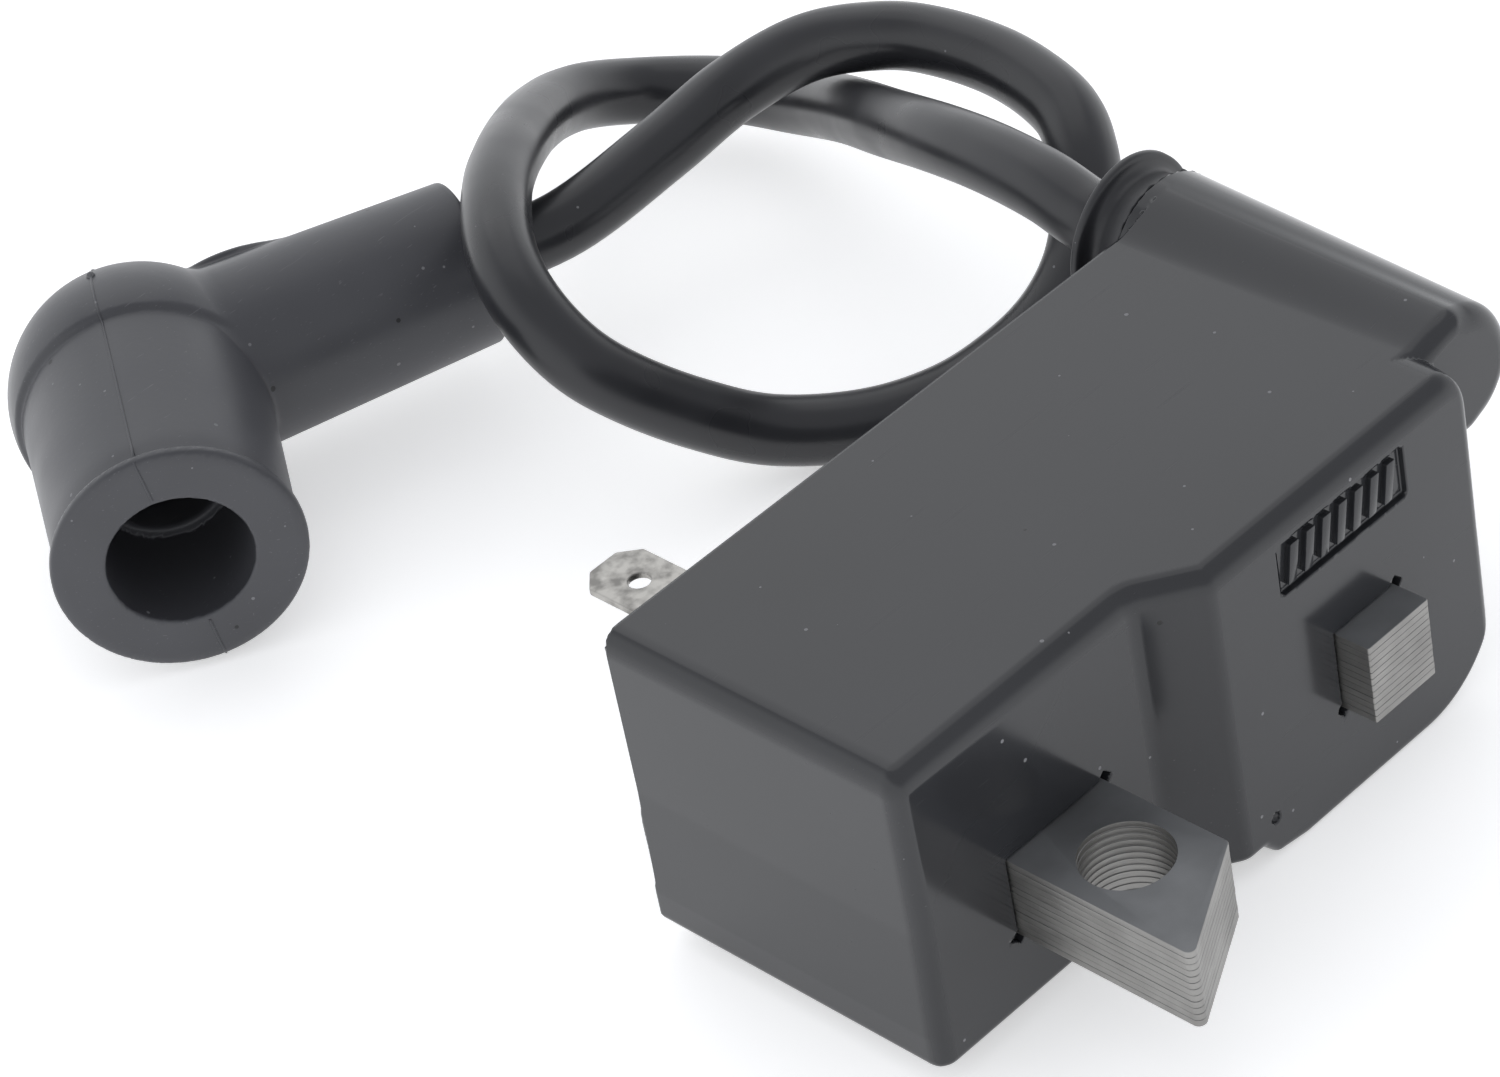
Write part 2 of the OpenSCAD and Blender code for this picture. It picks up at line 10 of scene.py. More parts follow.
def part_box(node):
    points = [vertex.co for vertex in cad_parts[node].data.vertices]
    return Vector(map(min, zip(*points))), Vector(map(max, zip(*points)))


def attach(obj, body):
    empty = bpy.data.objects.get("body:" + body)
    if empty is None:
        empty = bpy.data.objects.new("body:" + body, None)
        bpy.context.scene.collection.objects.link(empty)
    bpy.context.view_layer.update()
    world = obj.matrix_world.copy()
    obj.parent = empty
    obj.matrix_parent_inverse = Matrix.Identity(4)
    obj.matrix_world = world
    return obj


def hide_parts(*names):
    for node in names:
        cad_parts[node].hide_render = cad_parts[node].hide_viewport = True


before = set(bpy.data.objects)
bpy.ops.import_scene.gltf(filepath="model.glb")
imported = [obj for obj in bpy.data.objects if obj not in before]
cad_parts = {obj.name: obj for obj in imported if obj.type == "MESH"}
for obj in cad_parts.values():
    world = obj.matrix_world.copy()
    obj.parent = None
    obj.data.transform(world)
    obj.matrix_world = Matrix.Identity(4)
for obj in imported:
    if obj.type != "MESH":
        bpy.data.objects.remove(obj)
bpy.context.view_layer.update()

bl_info = {
    "name": "Small engine ignition coil",
    "version": (1, 0, 0),
    "blender": (4, 5, 0),
    "location": "3D View > Sidebar > Ignition coil",
    "description": "Builds the looks of a potted ignition coil and its plug lead around the packed bodies",
    "category": "Add Mesh",
}

MM = 0.001

# The corner frame: millimetres from the case's end face, its main front face and its rest plane.
NOSE_REACH = 3.0
CASE_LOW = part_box("housing")[0]
CORNER = Vector((CASE_LOW.x, CASE_LOW.y + NOSE_REACH * MM, CASE_LOW.z))
CORNER_FRAME = Matrix.Translation(CORNER) @ Matrix.Scale(MM, 4)

# The boot's frame: millimetres from the middle of its elbow, with X along the lead sleeve.
SLEEVE_ANGLE = math.radians(-20)
BARREL_ANGLE = math.radians(-103)
ELBOW = Vector((-17.0, 78.6, 9.4))
BOOT_FRAME = Matrix.Scale(MM, 4) @ Matrix.Translation(ELBOW) @ Matrix.Rotation(SLEEVE_ANGLE, 4, "Z")

# The camera: its turns in degrees, its place in millimetres and its lens.
CAMERA_AZIMUTH, CAMERA_ELEVATION, CAMERA_ROLL = -38.493, 37.604, -11.652
CAMERA_PLACE = Vector((-183.23, -194.23, 230.26))
CAMERA_LENS, CAMERA_SENSOR = 132, 36


# ---------------------------------------------------------------- sizes and colours


class CaseSizes(bpy.types.PropertyGroup):
    """Sizes of the moulded case."""

    length: FloatProperty(name="Length", description="Case without the lead tube, in millimetres",
                          default=50.5)
    depth: FloatProperty(name="Depth", description="Front face to open back, in millimetres", default=24.5)
    top: FloatProperty(name="Top", description="Height of the top face over the rest plane, in millimetres",
                       default=24.7)
    bottom: FloatProperty(name="Bottom", description="Height of the board end's underside, in millimetres",
                          default=1.7)
    wall: FloatProperty(name="Wall", description="Wall thickness, in millimetres", default=1.6)
    edge: FloatProperty(name="Edge radius", description="Rounding of the upper edges, in millimetres",
                        default=1.5)
    foot_edge: FloatProperty(name="Foot edge radius", default=0.6,
                             description="Rounding of the lower edges, in millimetres")
    slope_start: FloatProperty(name="Slope start", description="Where the slope to the coil chamber starts",
                               default=21.0)
    slope_end: FloatProperty(name="Slope end", description="Where that slope ends", default=25.0)


class CoreSizes(bpy.types.PropertyGroup):
    """Sizes of the laminated core."""

    sheets: IntProperty(name="Sheets", description="Number of stamped sheets", default=12, min=2)
    pitch: FloatProperty(name="Pitch", description="Height that each sheet takes, in millimetres",
                         default=0.5)
    burr: FloatProperty(name="Edge rounding", description="Rounding of each sheet's edge, in millimetres",
                        default=0.045)
    stagger: FloatProperty(name="Stagger", default=0.012,
                           description="Most that a sheet sits off its place, in millimetres")


class LeadSizes(bpy.types.PropertyGroup):
    """Sizes of the high tension lead and of the boot on its end."""

    diameter: FloatProperty(name="Lead diameter", description="Outer diameter of the lead", default=5 * MM,
                            unit="LENGTH")
    length: FloatProperty(name="Lead length", description="Whole lead, with its hidden ends", default=0.264,
                          unit="LENGTH")
    dome: FloatProperty(name="Dome radius", description="Radius of the boot's cap, in millimetres",
                        default=9.4)
    barrel: FloatProperty(name="Barrel length", description="Elbow to mouth, in millimetres", default=21.2)
    sleeve: FloatProperty(name="Sleeve length", description="Elbow to sleeve end, in millimetres",
                          default=25.5)
    bore: FloatProperty(name="Bore radius", description="Radius of the boot's mouth, in millimetres",
                        default=5.05)


class FinishColours(bpy.types.PropertyGroup):
    """Colours of the finishes."""

    case: FloatVectorProperty(name="Case", description="Black moulding", subtype="COLOR", size=3,
                              default=(0.024, 0.025, 0.028), min=0, max=1)
    rubber: FloatVectorProperty(name="Rubber", description="Lead and bushing", subtype="COLOR", size=3,
                                default=(0.021, 0.0215, 0.0245), min=0, max=1)
    boot: FloatVectorProperty(name="Boot", description="Boot rubber", subtype="COLOR", size=3,
                              default=(0.055, 0.056, 0.063), min=0, max=1)
    steel: FloatVectorProperty(name="Steel", description="Ground edges of the core", subtype="COLOR", size=3,
                               default=(0.30, 0.295, 0.285), min=0, max=1)
    scale: FloatVectorProperty(name="Sheet face", description="Dark face of the core's sheets",
                               subtype="COLOR", size=3, default=(0.17, 0.175, 0.18), min=0, max=1)
    tin: FloatVectorProperty(name="Tin", description="Tinned blade", subtype="COLOR", size=3,
                             default=(0.36, 0.35, 0.33), min=0, max=1)
    floor: FloatVectorProperty(name="Floor", description="Pale floor", subtype="COLOR", size=3,
                               default=(0.92, 0.92, 0.92), min=0, max=1)


# ---------------------------------------------------------------- distance fields, in millimetres


def polygon_field(u, v, corners):
    """Distance to the edge of a polygon in its own plane, negative inside."""
    nearest, inside = np.inf, False
    for (au, av), (bu, bv) in zip(corners, corners[1:] + corners[:1]):
        du, dv = bu - au, bv - av
        part = np.clip(((u - au) * du + (v - av) * dv) / (du * du + dv * dv), 0, 1)
        nearest = np.minimum(nearest, np.hypot(u - au - part * du, v - av - part * dv))
        if dv:
            inside = inside ^ (((av > v) != (bv > v)) & (u < du * (v - av) / dv + au))
    return np.where(inside, -nearest, nearest)


def rounded_corners(corners, arc_step=math.radians(4)):
    """The points of a polygon whose corners, given as (u, v, radius), are rounded by arcs."""
    points = []
    for before, corner, after in zip(corners[-1:] + corners[:-1], corners, corners[1:] + corners[:1]):
        here, radius = Vector(corner[:2]), corner[2]
        if not radius:
            points.append(tuple(here))
            continue
        arrive = (here - Vector(before[:2])).normalized()
        leave = (Vector(after[:2]) - here).normalized()
        turn = arrive.angle_signed(leave)
        reach = radius * math.tan(abs(turn) / 2)
        side = Vector((-arrive.y, arrive.x)) * (-1 if turn > 0 else 1)
        centre = here - arrive * reach + side * radius
        steps = max(2, round(abs(turn) / arc_step))
        for step in range(steps + 1):
            points.append(tuple(centre + Matrix.Rotation(-turn * step / steps, 2) @ (-side * radius)))
    return points


def panel_field(u, v, low, high, radius=0.0):
    """Distance to a rectangle with rounded corners in its own plane."""
    across = np.abs(u - (low[0] + high[0]) / 2) - (high[0] - low[0]) / 2 + radius
    along = np.abs(v - (low[1] + high[1]) / 2) - (high[1] - low[1]) / 2 + radius
    outside = np.hypot(np.maximum(across, 0), np.maximum(along, 0))
    return np.minimum(np.maximum(across, along), 0) + outside - radius


def meet(a, b, radius):
    """What lies in both fields, with the edge where they meet rounded."""
    rounding = np.hypot(np.maximum(a + radius, 0), np.maximum(b + radius, 0))
    return np.minimum(np.maximum(a, b), -radius) + rounding


def join(a, b, radius):
    """What lies in either field, with the crease between them filled."""
    filling = np.hypot(np.maximum(radius - a, 0), np.maximum(radius - b, 0))
    return np.maximum(np.minimum(a, b), radius) - filling


def planes(*runs):
    """Grid planes from runs of (start, end, step) that follow on from each other."""
    values = [runs[-1][1]]
    for start, end, step in runs:
        values.extend(np.linspace(start, end, max(1, round((end - start) / step)), endpoint=False))
    return np.array(sorted(values))


def slope_of(field, points, reach=0.06):
    """The field at some points, and the direction in which it grows."""
    x, y, z = points.T
    grown = [field(x + reach, y, z) - field(x - reach, y, z),
             field(x, y + reach, z) - field(x, y - reach, z),
             field(x, y, z + reach) - field(x, y, z - reach)]
    slope = np.stack(grown, 1) / (2 * reach)
    return field(x, y, z), slope


def skin(field, xs, ys, zs):
    """Points, four-sided faces and outward directions of the closed surface where a field is zero."""
    grid = (xs, ys, zs)
    depth = np.broadcast_to(field(xs[:, None, None], ys[None, :, None], zs[None, None, :]),
                            (len(xs), len(ys), len(zs)))
    total = np.zeros((*(np.array(depth.shape) - 1), 3))
    hits = np.zeros(total.shape[:3])
    rings = []
    for axis in range(3):
        others = [n for n in range(3) if n != axis]
        turned = np.moveaxis(depth, axis, 0)
        lower, upper = turned[:-1], turned[1:]
        place = np.nonzero((lower < 0) != (upper < 0))
        index = np.zeros((len(place[0]), 3), int)
        for column, found in zip([axis, *others], place):
            index[:, column] = found
        low, high = lower[place], upper[place]
        point = np.stack([grid[n][index[:, n]] for n in range(3)], 1).astype(float)
        point[:, axis] += low / (low - high) * (grid[axis][index[:, axis] + 1] - grid[axis][index[:, axis]])
        ring = []
        for step in ((-1, -1), (0, -1), (0, 0), (-1, 0)):
            cell = index.copy()
            cell[:, others] += step
            np.add.at(total, tuple(cell.T), point)
            np.add.at(hits, tuple(cell.T), 1)
            ring.append(cell)
        outward = (low < 0) != (axis == 1)
        rings.append((ring, outward))
    number = np.cumsum(hits.ravel() > 0).reshape(hits.shape) - 1
    points = total[hits > 0] / hits[hits > 0][:, None]
    faces = []
    for ring, outward in rings:
        quads = np.stack([number[tuple(cell.T)] for cell in ring], 1)
        quads[~outward] = quads[~outward][:, ::-1]
        faces.extend(quads.tolist())
    pulls, longest_pull, least_slope = 3, 0.15, 0.2
    for _ in range(pulls):
        depth_here, slope = slope_of(field, points)
        steep = np.maximum((slope ** 2).sum(1), least_slope)
        points = points - slope * (np.clip(depth_here, -longest_pull, longest_pull) / steep)[:, None]
    slope = slope_of(field, points)[1]
    return points, faces, slope / np.maximum(np.linalg.norm(slope, axis=1), 1e-6)[:, None]


# ---------------------------------------------------------------- pieces


def new_piece(name, data, finish, body, slot, *nodes):
    """Puts an object in the scene with its finish, rides it on a body and has it stand for CAD nodes."""
    piece = bpy.data.objects.new(name, data)
    bpy.context.collection.objects.link(piece)
    data.materials.append(finish)
    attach(piece, body)
    if nodes:
        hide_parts(*nodes)
    return piece


def mesh_from_skin(name, skinned, place):
    """A smooth mesh from a skinned field, moved into the row frame."""
    points, faces, outward = skinned
    turn = np.array(place.to_3x3().normalized())
    moved = points @ np.array(place.to_3x3()).T + np.array(place.translation)
    mesh = bpy.data.meshes.new(name)
    mesh.from_pydata(moved.tolist(), [], faces)
    mesh.validate()
    mesh.polygons.foreach_set("use_smooth", [True] * len(mesh.polygons))
    mesh.normals_split_custom_set_from_vertices((outward @ turn.T).tolist())
    return mesh


def mesh_of(shape, name):
    """A mesh made from a bmesh, which is freed."""
    mesh = bpy.data.meshes.new(name)
    shape.to_mesh(mesh)
    shape.free()
    return mesh


def lathe(name, profile, place, steps=72, wobble=None):
    """A mesh turned round Y from (radius, y) points, with an optional change of radius at each place."""
    shape = bmesh.new()
    rings = []
    for radius, y in profile:
        ring = []
        for step in range(steps):
            angle = math.tau * step / steps
            r = radius + (wobble(radius, y, angle) if wobble else 0)
            ring.append(shape.verts.new(place @ Vector((r * math.cos(angle), y, r * math.sin(angle)))))
        rings.append(ring)
    closed = rings[1:] + rings[:1]
    for ring, following in zip(rings, closed):
        for step in range(steps):
            after = (step + 1) % steps
            shape.faces.new((ring[step], ring[after], following[after], following[step]))
    bmesh.ops.recalc_face_normals(shape, faces=shape.faces)
    for face in shape.faces:
        face.smooth = True
    return mesh_of(shape, name)


def stamped(outline, hole_centre, hole_radius, thickness, burr, hole_steps=64):
    """Mesh of a flat stamping with rounded edges and one round hole, with its middle at zero height."""
    flat = bpy.data.curves.new("stamping", "CURVE")
    flat.dimensions = "2D"
    flat.fill_mode = "BOTH"
    flat.extrude = thickness / 2 - burr
    flat.bevel_depth = burr
    flat.offset = -burr
    flat.bevel_resolution = 2
    turns = [math.tau * step / hole_steps for step in range(hole_steps)]
    hole = [(hole_centre[0] + hole_radius * math.cos(turn), hole_centre[1] + hole_radius * math.sin(turn))
            for turn in turns]
    for points in (outline, hole):
        line = flat.splines.new("POLY")
        line.points.add(len(points) - 1)
        line.use_cyclic_u = True
        for point, (x, y) in zip(line.points, points):
            point.co = (x, y, 0, 1)
    holder = bpy.data.objects.new("stamping", flat)
    bpy.context.collection.objects.link(holder)
    bpy.context.view_layer.update()
    mesh = bpy.data.meshes.new_from_object(holder.evaluated_get(bpy.context.evaluated_depsgraph_get()))
    bpy.data.objects.remove(holder)
    bpy.data.curves.remove(flat)
    return mesh


def smooth_by_angle(mesh, degrees=35):
    """Shades a mesh smooth, with edges sharper than an angle kept sharp."""
    shape = bmesh.new()
    shape.from_mesh(mesh)
    bmesh.ops.remove_doubles(shape, verts=shape.verts, dist=1e-7)
    for face in shape.faces:
        face.smooth = True
    for edge in shape.edges:
        edge.smooth = edge.calc_face_angle(0) < math.radians(degrees)
    shape.to_mesh(mesh)
    shape.free()
    return mesh


def strand(name, points, radius, steps=6):
    """Curve data of a round strand along some points."""
    line = bpy.data.curves.new(name, "CURVE")
    line.dimensions = "3D"
    line.bevel_depth = radius
    line.bevel_resolution = steps
    line.use_fill_caps = True
    spline = line.splines.new("POLY")
    spline.points.add(len(points) - 1)
    for point, place in zip(spline.points, points):
        point.co = (*place, 1)
    spline.use_smooth = True
    return line


# ---------------------------------------------------------------- finishes

DUST_COLOUR, SCUFF_COLOUR = (0.19, 0.19, 0.20, 1), (0.16, 0.16, 0.17, 1)


class Nodes:
    """Short calls for adding and linking shader nodes in one tree."""

    def __init__(self, tree):
        self.tree = tree

    def add(self, kind, **settings):
        """Adds a node and sets its properties; sockets are set by their names in a dict called inputs."""
        node = self.tree.nodes.new(kind)
        inputs = settings.pop("inputs", {})
        for key, value in settings.items():
            setattr(node, key, value)
        for key, value in inputs.items():
            self.give(value, node.inputs[key])
        return node

    def give(self, value, socket):
        """Feeds an output to a socket, or sets the socket to a plain value."""
        if isinstance(value, bpy.types.NodeSocket):
            self.tree.links.new(value, socket)
        else:
            socket.default_value = value

    def math(self, operation, a, b=0.0, clamp=False):
        """The output of a Math node."""
        node = self.add("ShaderNodeMath", operation=operation, use_clamp=clamp, inputs={0: a, 1: b})
        return node.outputs[0]

    def ramp(self, value, low, high):
        """Value stretched so that low gives 0 and high gives 1, and clamped."""
        node = self.add("ShaderNodeMapRange", inputs={"Value": value, "From Min": low, "From Max": high})
        return node.outputs[0]

    def mix(self, mask, a, b):
        """A colour between a and b."""
        node = self.add("ShaderNodeMix", data_type="RGBA", inputs={0: mask})
        self.give(a, node.inputs[6])
        self.give(b, node.inputs[7])
        return node.outputs[2]


def effect(name, inputs, outputs, build):
    """A shader node group, built once: build gets its nodes and input sockets and returns its outputs."""
    found = bpy.data.node_groups.get(name)
    if found:
        return found
    tree = bpy.data.node_groups.new(name, "ShaderNodeTree")
    for label, default in inputs.items():
        socket = tree.interface.new_socket(label, in_out="INPUT", socket_type="NodeSocketFloat")
        socket.default_value = default
    for label in outputs:
        tree.interface.new_socket(label, in_out="OUTPUT", socket_type="NodeSocketFloat")
    nodes = Nodes(tree)
    entry = nodes.add("NodeGroupInput")
    leave = nodes.add("NodeGroupOutput")
    for socket, value in zip(leave.inputs, build(nodes, entry.outputs)):
        tree.links.new(value, socket)
    return tree


def object_place(nodes):
    """The surface's place in the row frame."""
    return nodes.add("ShaderNodeNewGeometry").outputs["Position"]


def build_specks(nodes, given):
    """Sparse dust: small dots, a few of them kept, of uneven size."""
    cells = nodes.add("ShaderNodeTexVoronoi",
                      inputs={"Vector": object_place(nodes), "Scale": given["Scale"]})
    chance = nodes.add("ShaderNodeSeparateColor", inputs={"Color": cells.outputs["Color"]})
    kept = nodes.math("GREATER_THAN", nodes.math("ADD", chance.outputs[0], given["Amount"]), 1.0)
    size = nodes.math("MULTIPLY", given["Size"], nodes.math("ADD", chance.outputs[1], 0.25))
    dot = nodes.math("LESS_THAN", cells.outputs["Distance"], size)
    return [nodes.math("MULTIPLY", kept, dot)]


def build_grain(nodes, given):
    """Fine moulded grain over a slow unevenness."""
    place = object_place(nodes)
    fine = nodes.add("ShaderNodeTexNoise", inputs={"Vector": place, "Scale": given["Scale"], "Detail": 3.0})
    slow_scale = nodes.math("MULTIPLY", given["Scale"], 0.06)
    slow = nodes.add("ShaderNodeTexNoise", inputs={"Vector": place, "Scale": slow_scale, "Detail": 2.0})
    return [fine.outputs[0], nodes.ramp(slow.outputs[0], 0.3, 0.7)]


def build_scratches(nodes, given):
    """Thin straight marks in a few directions, broken up along their length."""
    place = object_place(nodes)
    marks = []
    for turn, stretch in ((0.5, 40.0), (-0.8, 60.0)):
        turned = nodes.add("ShaderNodeMapping", inputs={"Vector": place, "Rotation": (turn, turn, turn * 2),
                                                        "Scale": (1.0, stretch, stretch)})
        lines = nodes.add("ShaderNodeTexNoise",
                          inputs={"Vector": turned.outputs[0], "Scale": given["Scale"], "Detail": 1.0})
        marks.append(nodes.ramp(lines.outputs[0], 0.74, 0.78))
    return [nodes.math("MAXIMUM", *marks)]


def speck_mask(nodes, scale, amount, size):
    """Dust mask of the given dot spacing per metre, share of dots kept and dot size."""
    tree = effect("Dust specks", {"Scale": 300.0, "Amount": 0.05, "Size": 0.1}, ["Mask"], build_specks)
    return nodes.add("ShaderNodeGroup", node_tree=tree,
                     inputs={"Scale": scale, "Amount": amount, "Size": size}).outputs[0]


def grain(nodes, scale):
    """Grain height and slow tone."""
    tree = effect("Moulded grain", {"Scale": 3000.0}, ["Height", "Tone"], build_grain)
    return nodes.add("ShaderNodeGroup", node_tree=tree, inputs={"Scale": scale}).outputs


def scratch_mask(nodes, scale):
    """Scratch mask."""
    tree = effect("Fine scratches", {"Scale": 60.0}, ["Mask"], build_scratches)
    return nodes.add("ShaderNodeGroup", node_tree=tree, inputs={"Scale": scale}).outputs[0]


def shade(colour, factor):
    """A colour made lighter or darker, with its alpha."""
    return (*(min(1.0, part * factor) for part in colour), 1.0)


def new_finish(name, **fixed):
    """A material with one Principled shader, and short calls for its nodes."""
    finish = bpy.data.materials.new(name)
    finish.use_nodes = True
    nodes = Nodes(finish.node_tree)
    shader = finish.node_tree.nodes["Principled BSDF"]
    for key, value in fixed.items():
        shader.inputs[key.replace("_", " ")].default_value = value
    return finish, nodes, shader


def bump(nodes, shader, height, strength, distance):
    """Feeds a height to the shader's normal."""
    made = nodes.add("ShaderNodeBump", inputs={"Height": height, "Strength": strength, "Distance": distance})
    nodes.give(made.outputs[0], shader.inputs["Normal"])


def moulded_finish(name, colour, rough, rough_spread, grain_scale, grain_depth, dust, dust_size=0.08,
                   pits=0.0, scuffs=0.0):
    """Moulded plastic or rubber: uneven gloss, fine grain, dust, small pits darkened with painted shade, and
    pale scuffs.
    """
    finish, nodes, shader = new_finish(name)
    height, tone = grain(nodes, grain_scale)
    specks = speck_mask(nodes, 700.0, dust, dust_size)
    base = nodes.mix(tone, shade(colour, 0.88), shade(colour, 1.15))
    if pits:
        # Pits are small dents in the bump, and their dark colour is painted shade inside them.
        holes = speck_mask(nodes, 430.0, pits, 0.075)
        base = nodes.mix(holes, base, shade(colour, 0.2))
        height = nodes.math("SUBTRACT", height, nodes.math("MULTIPLY", holes, 6.0))
    if scuffs:
        marks = nodes.math("MULTIPLY", scratch_mask(nodes, 150.0), scuffs)
        base = nodes.mix(marks, base, SCUFF_COLOUR)
    nodes.give(nodes.mix(specks, base, DUST_COLOUR), shader.inputs["Base Color"])
    gloss = nodes.math("MULTIPLY_ADD", tone, rough_spread)
    gloss.node.inputs[2].default_value = rough
    dusty = nodes.math("ADD", gloss, nodes.math("MULTIPLY", specks, 0.5), clamp=True)
    nodes.give(dusty, shader.inputs["Roughness"])
    bump(nodes, shader, height, 0.5, grain_depth)
    return finish


def case_finish(colour):
    """Polished black case with faint scratches."""
    finish = moulded_finish("Polished black case", colour, rough=0.13, rough_spread=0.08, grain_scale=700.0,
                            grain_depth=0.0000012, dust=0.16, pits=0.10)
    nodes = Nodes(finish.node_tree)
    shader = finish.node_tree.nodes["Principled BSDF"]
    marks = nodes.math("MULTIPLY", scratch_mask(nodes, 110.0), 0.12)
    rough = shader.inputs["Roughness"].links[0].from_socket
    nodes.give(nodes.math("ADD", rough, marks, clamp=True), shader.inputs["Roughness"])
    return finish


def core_finish(steel, scale):
    """Sheet steel: dark rolled faces, bright ground edges with drag lines, and stains."""
    finish, nodes, shader = new_finish("Laminated core steel", Metallic=1.0)
    surface = nodes.add("ShaderNodeNewGeometry")
    up = nodes.add("ShaderNodeSeparateXYZ", inputs={"Vector": surface.outputs["Normal"]}).outputs[2]
    flat = nodes.ramp(nodes.math("ABSOLUTE", up), 0.75, 0.97)
    stains = nodes.add("ShaderNodeTexNoise",
                       inputs={"Vector": surface.outputs["Position"], "Scale": 260.0, "Detail": 4.0})
    drag = nodes.add("ShaderNodeMapping",
                     inputs={"Vector": surface.outputs["Position"], "Scale": (500.0, 500.0, 6000.0)})
    lines = nodes.add("ShaderNodeTexNoise", inputs={"Vector": drag.outputs[0], "Scale": 1.0, "Detail": 2.0})
    stained = nodes.ramp(stains.outputs[0], 0.35, 0.7)
    edges = nodes.mix(stained, shade(steel, 1.15), shade(steel, 0.85))
    faces = nodes.mix(stained, shade(scale, 1.12), shade(scale, 0.88))
    nodes.give(nodes.mix(flat, edges, faces), shader.inputs["Base Color"])
    # A flat face keeps three eighths of the edges' metal look, because its scale is dull.
    nodes.give(nodes.ramp(flat, 1.6, 0.0), shader.inputs["Metallic"])
    rough = nodes.math("MULTIPLY_ADD", lines.outputs[0], 0.22)
    rough.node.inputs[2].default_value = 0.36
    nodes.give(rough, shader.inputs["Roughness"])
    bump(nodes, shader, lines.outputs[0], 0.3, 0.00001)
    return finish


def tin_finish(name, colour, rough=0.32, stain_scale=1100.0):
    """Tinned metal, mottled and a little dull."""
    finish, nodes, shader = new_finish(name, Metallic=1.0)
    place = object_place(nodes)
    cloud = nodes.add("ShaderNodeTexNoise", inputs={"Vector": place, "Scale": stain_scale, "Detail": 5.0})
    mottle = nodes.ramp(cloud.outputs[0], 0.38, 0.66)
    nodes.give(nodes.mix(mottle, shade(colour, 1.15), shade(colour, 0.7)), shader.inputs["Base Color"])
    dull = nodes.math("MULTIPLY_ADD", mottle, 0.2)
    dull.node.inputs[2].default_value = rough
    nodes.give(dull, shader.inputs["Roughness"])
    bump(nodes, shader, cloud.outputs[0], 0.4, 0.00002)
    return finish


def wound_finish(name, colour, pitch):
    """Enamelled wire: a coil's turns as fine ridges along the pole, with painted shade in the grooves
    between turns.
    """
    finish, nodes, shader = new_finish(name, Metallic=1.0, Coat_Weight=0.6)
    place = object_place(nodes)
    turns = nodes.add("ShaderNodeTexWave", bands_direction="Y",
                      inputs={"Vector": place, "Scale": 0.31 / pitch, "Distortion": 0.4,
                              "Detail Scale": 2.0})
    # Painted shade: the colour darkens in the grooves between turns and lifts a little on their crowns as a
    # painted highlight.
    groove_shaded_bands = nodes.mix(turns.outputs["Fac"], shade(colour, 0.55), shade(colour, 1.1))
    nodes.give(groove_shaded_bands, shader.inputs["Base Color"])
    nodes.give(nodes.ramp(turns.outputs["Fac"], -1.0, 3.0), shader.inputs["Roughness"])
    bump(nodes, shader, turns.outputs["Fac"], 0.8, pitch / 3)
    return finish


# ---------------------------------------------------------------- the parts of the object


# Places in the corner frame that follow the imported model, in millimetres.
# The lead tube narrows and leans inwards towards its closed front end.
TUBE_X, TUBE_Z = 53.1, 20.4
TUBE_FRONT_R, TUBE_BACK_R, TUBE_BORE_R = 4.5, 5.4, 3.4
TUBE_LEAN, TUBE_FLOOR, TUBE_CREASE = 0.3, 2.4, 1.6
TUBE_MOUTH = 25.5
SHOULDER_LOW, BRIDGE_LOW, BRIDGE_REACH = (30, 8), (46, 17), 2
# The core's leg and pole, and the windows that they come out of, with small reliefs at two corners.
LEG_X, LEG_WIDTH = 8.0, 8.8
POLE_X, POLE_WIDTH = 35.0, 5.8
STACK_LOW, STACK_HIGH = 7.2, 13.2
WINDOW_GAP, WINDOW_DEPTH = 0.08, 3
NICK_REACH, NICK_DEPTH = 0.64, 0.8
# The rest of the case: heights between which the foot's rounding grows, the plaque and the dimple.
FOOT_HEIGHTS = (4, 12)
PLAQUE_LOW, PLAQUE_HIGH = (30.9, 19.0), (42.8, 22.8)
PLAQUE_CORNER, PLAQUE_DEPTH = 0.3, 0.4
DIMPLE_X, DIMPLE_Z, DIMPLE_R = 27.8, 3.4, 0.42
BLADE_X, BLADE_WIDTH, BLADE_LOW, BLADE_THICK = 5.0, 4.8, 21.9, 0.5
# The resin sags below the rim and creeps up whatever it touches.
RESIN_FRONT, RESIN_BACK = 22.3, 24.0
RESIN_SAG, RESIN_CREEP, CREEP_WIDTH, RESIN_OVERLAP = 0.25, 0.4, 0.8, 0.2
RESIN_SWELL, RESIN_RIPPLE = 0.03, 0.006

# The boot, in its own frame: the cap's foot, the barrel with its lip and face, the sleeve and the bores.
DOME_FOOT = 2.4
BARREL_R, BARREL_TAPER, NECK_DEPTH = 8.75, 0.45, 0.12
LIP_R, LIP_HALF, LIP_BACK = 8.8, 0.5, 0.3
FACE_FALL, FACE_WIDTH = 1.3, 3.75
SLEEVE_R, SLEEVE_TAPER = 7.0, 0.9
PLUG_DEPTH, CAVITY_R, LEAD_HOLE_R = 11, 4.3, 2.56
# The low rib behind the sleeve is a slice of a disc, in a plane tilted about the sleeve.
RIB_TILT_Y, RIB_TILT_Z = 0.63, 0.776
RIB_X, RIB_DROP, RIB_R, RIB_HALF = 8.8, 6.75, 14.0, 0.5
# Rounding of the boot's edges and creases.
FINE_EDGE, SLEEVE_EDGE, DOME_EDGE = 0.25, 0.35, 0.4
RIB_CREASE, CAVITY_CREASE, SLEEVE_CREASE = 0.3, 0.4, 0.5

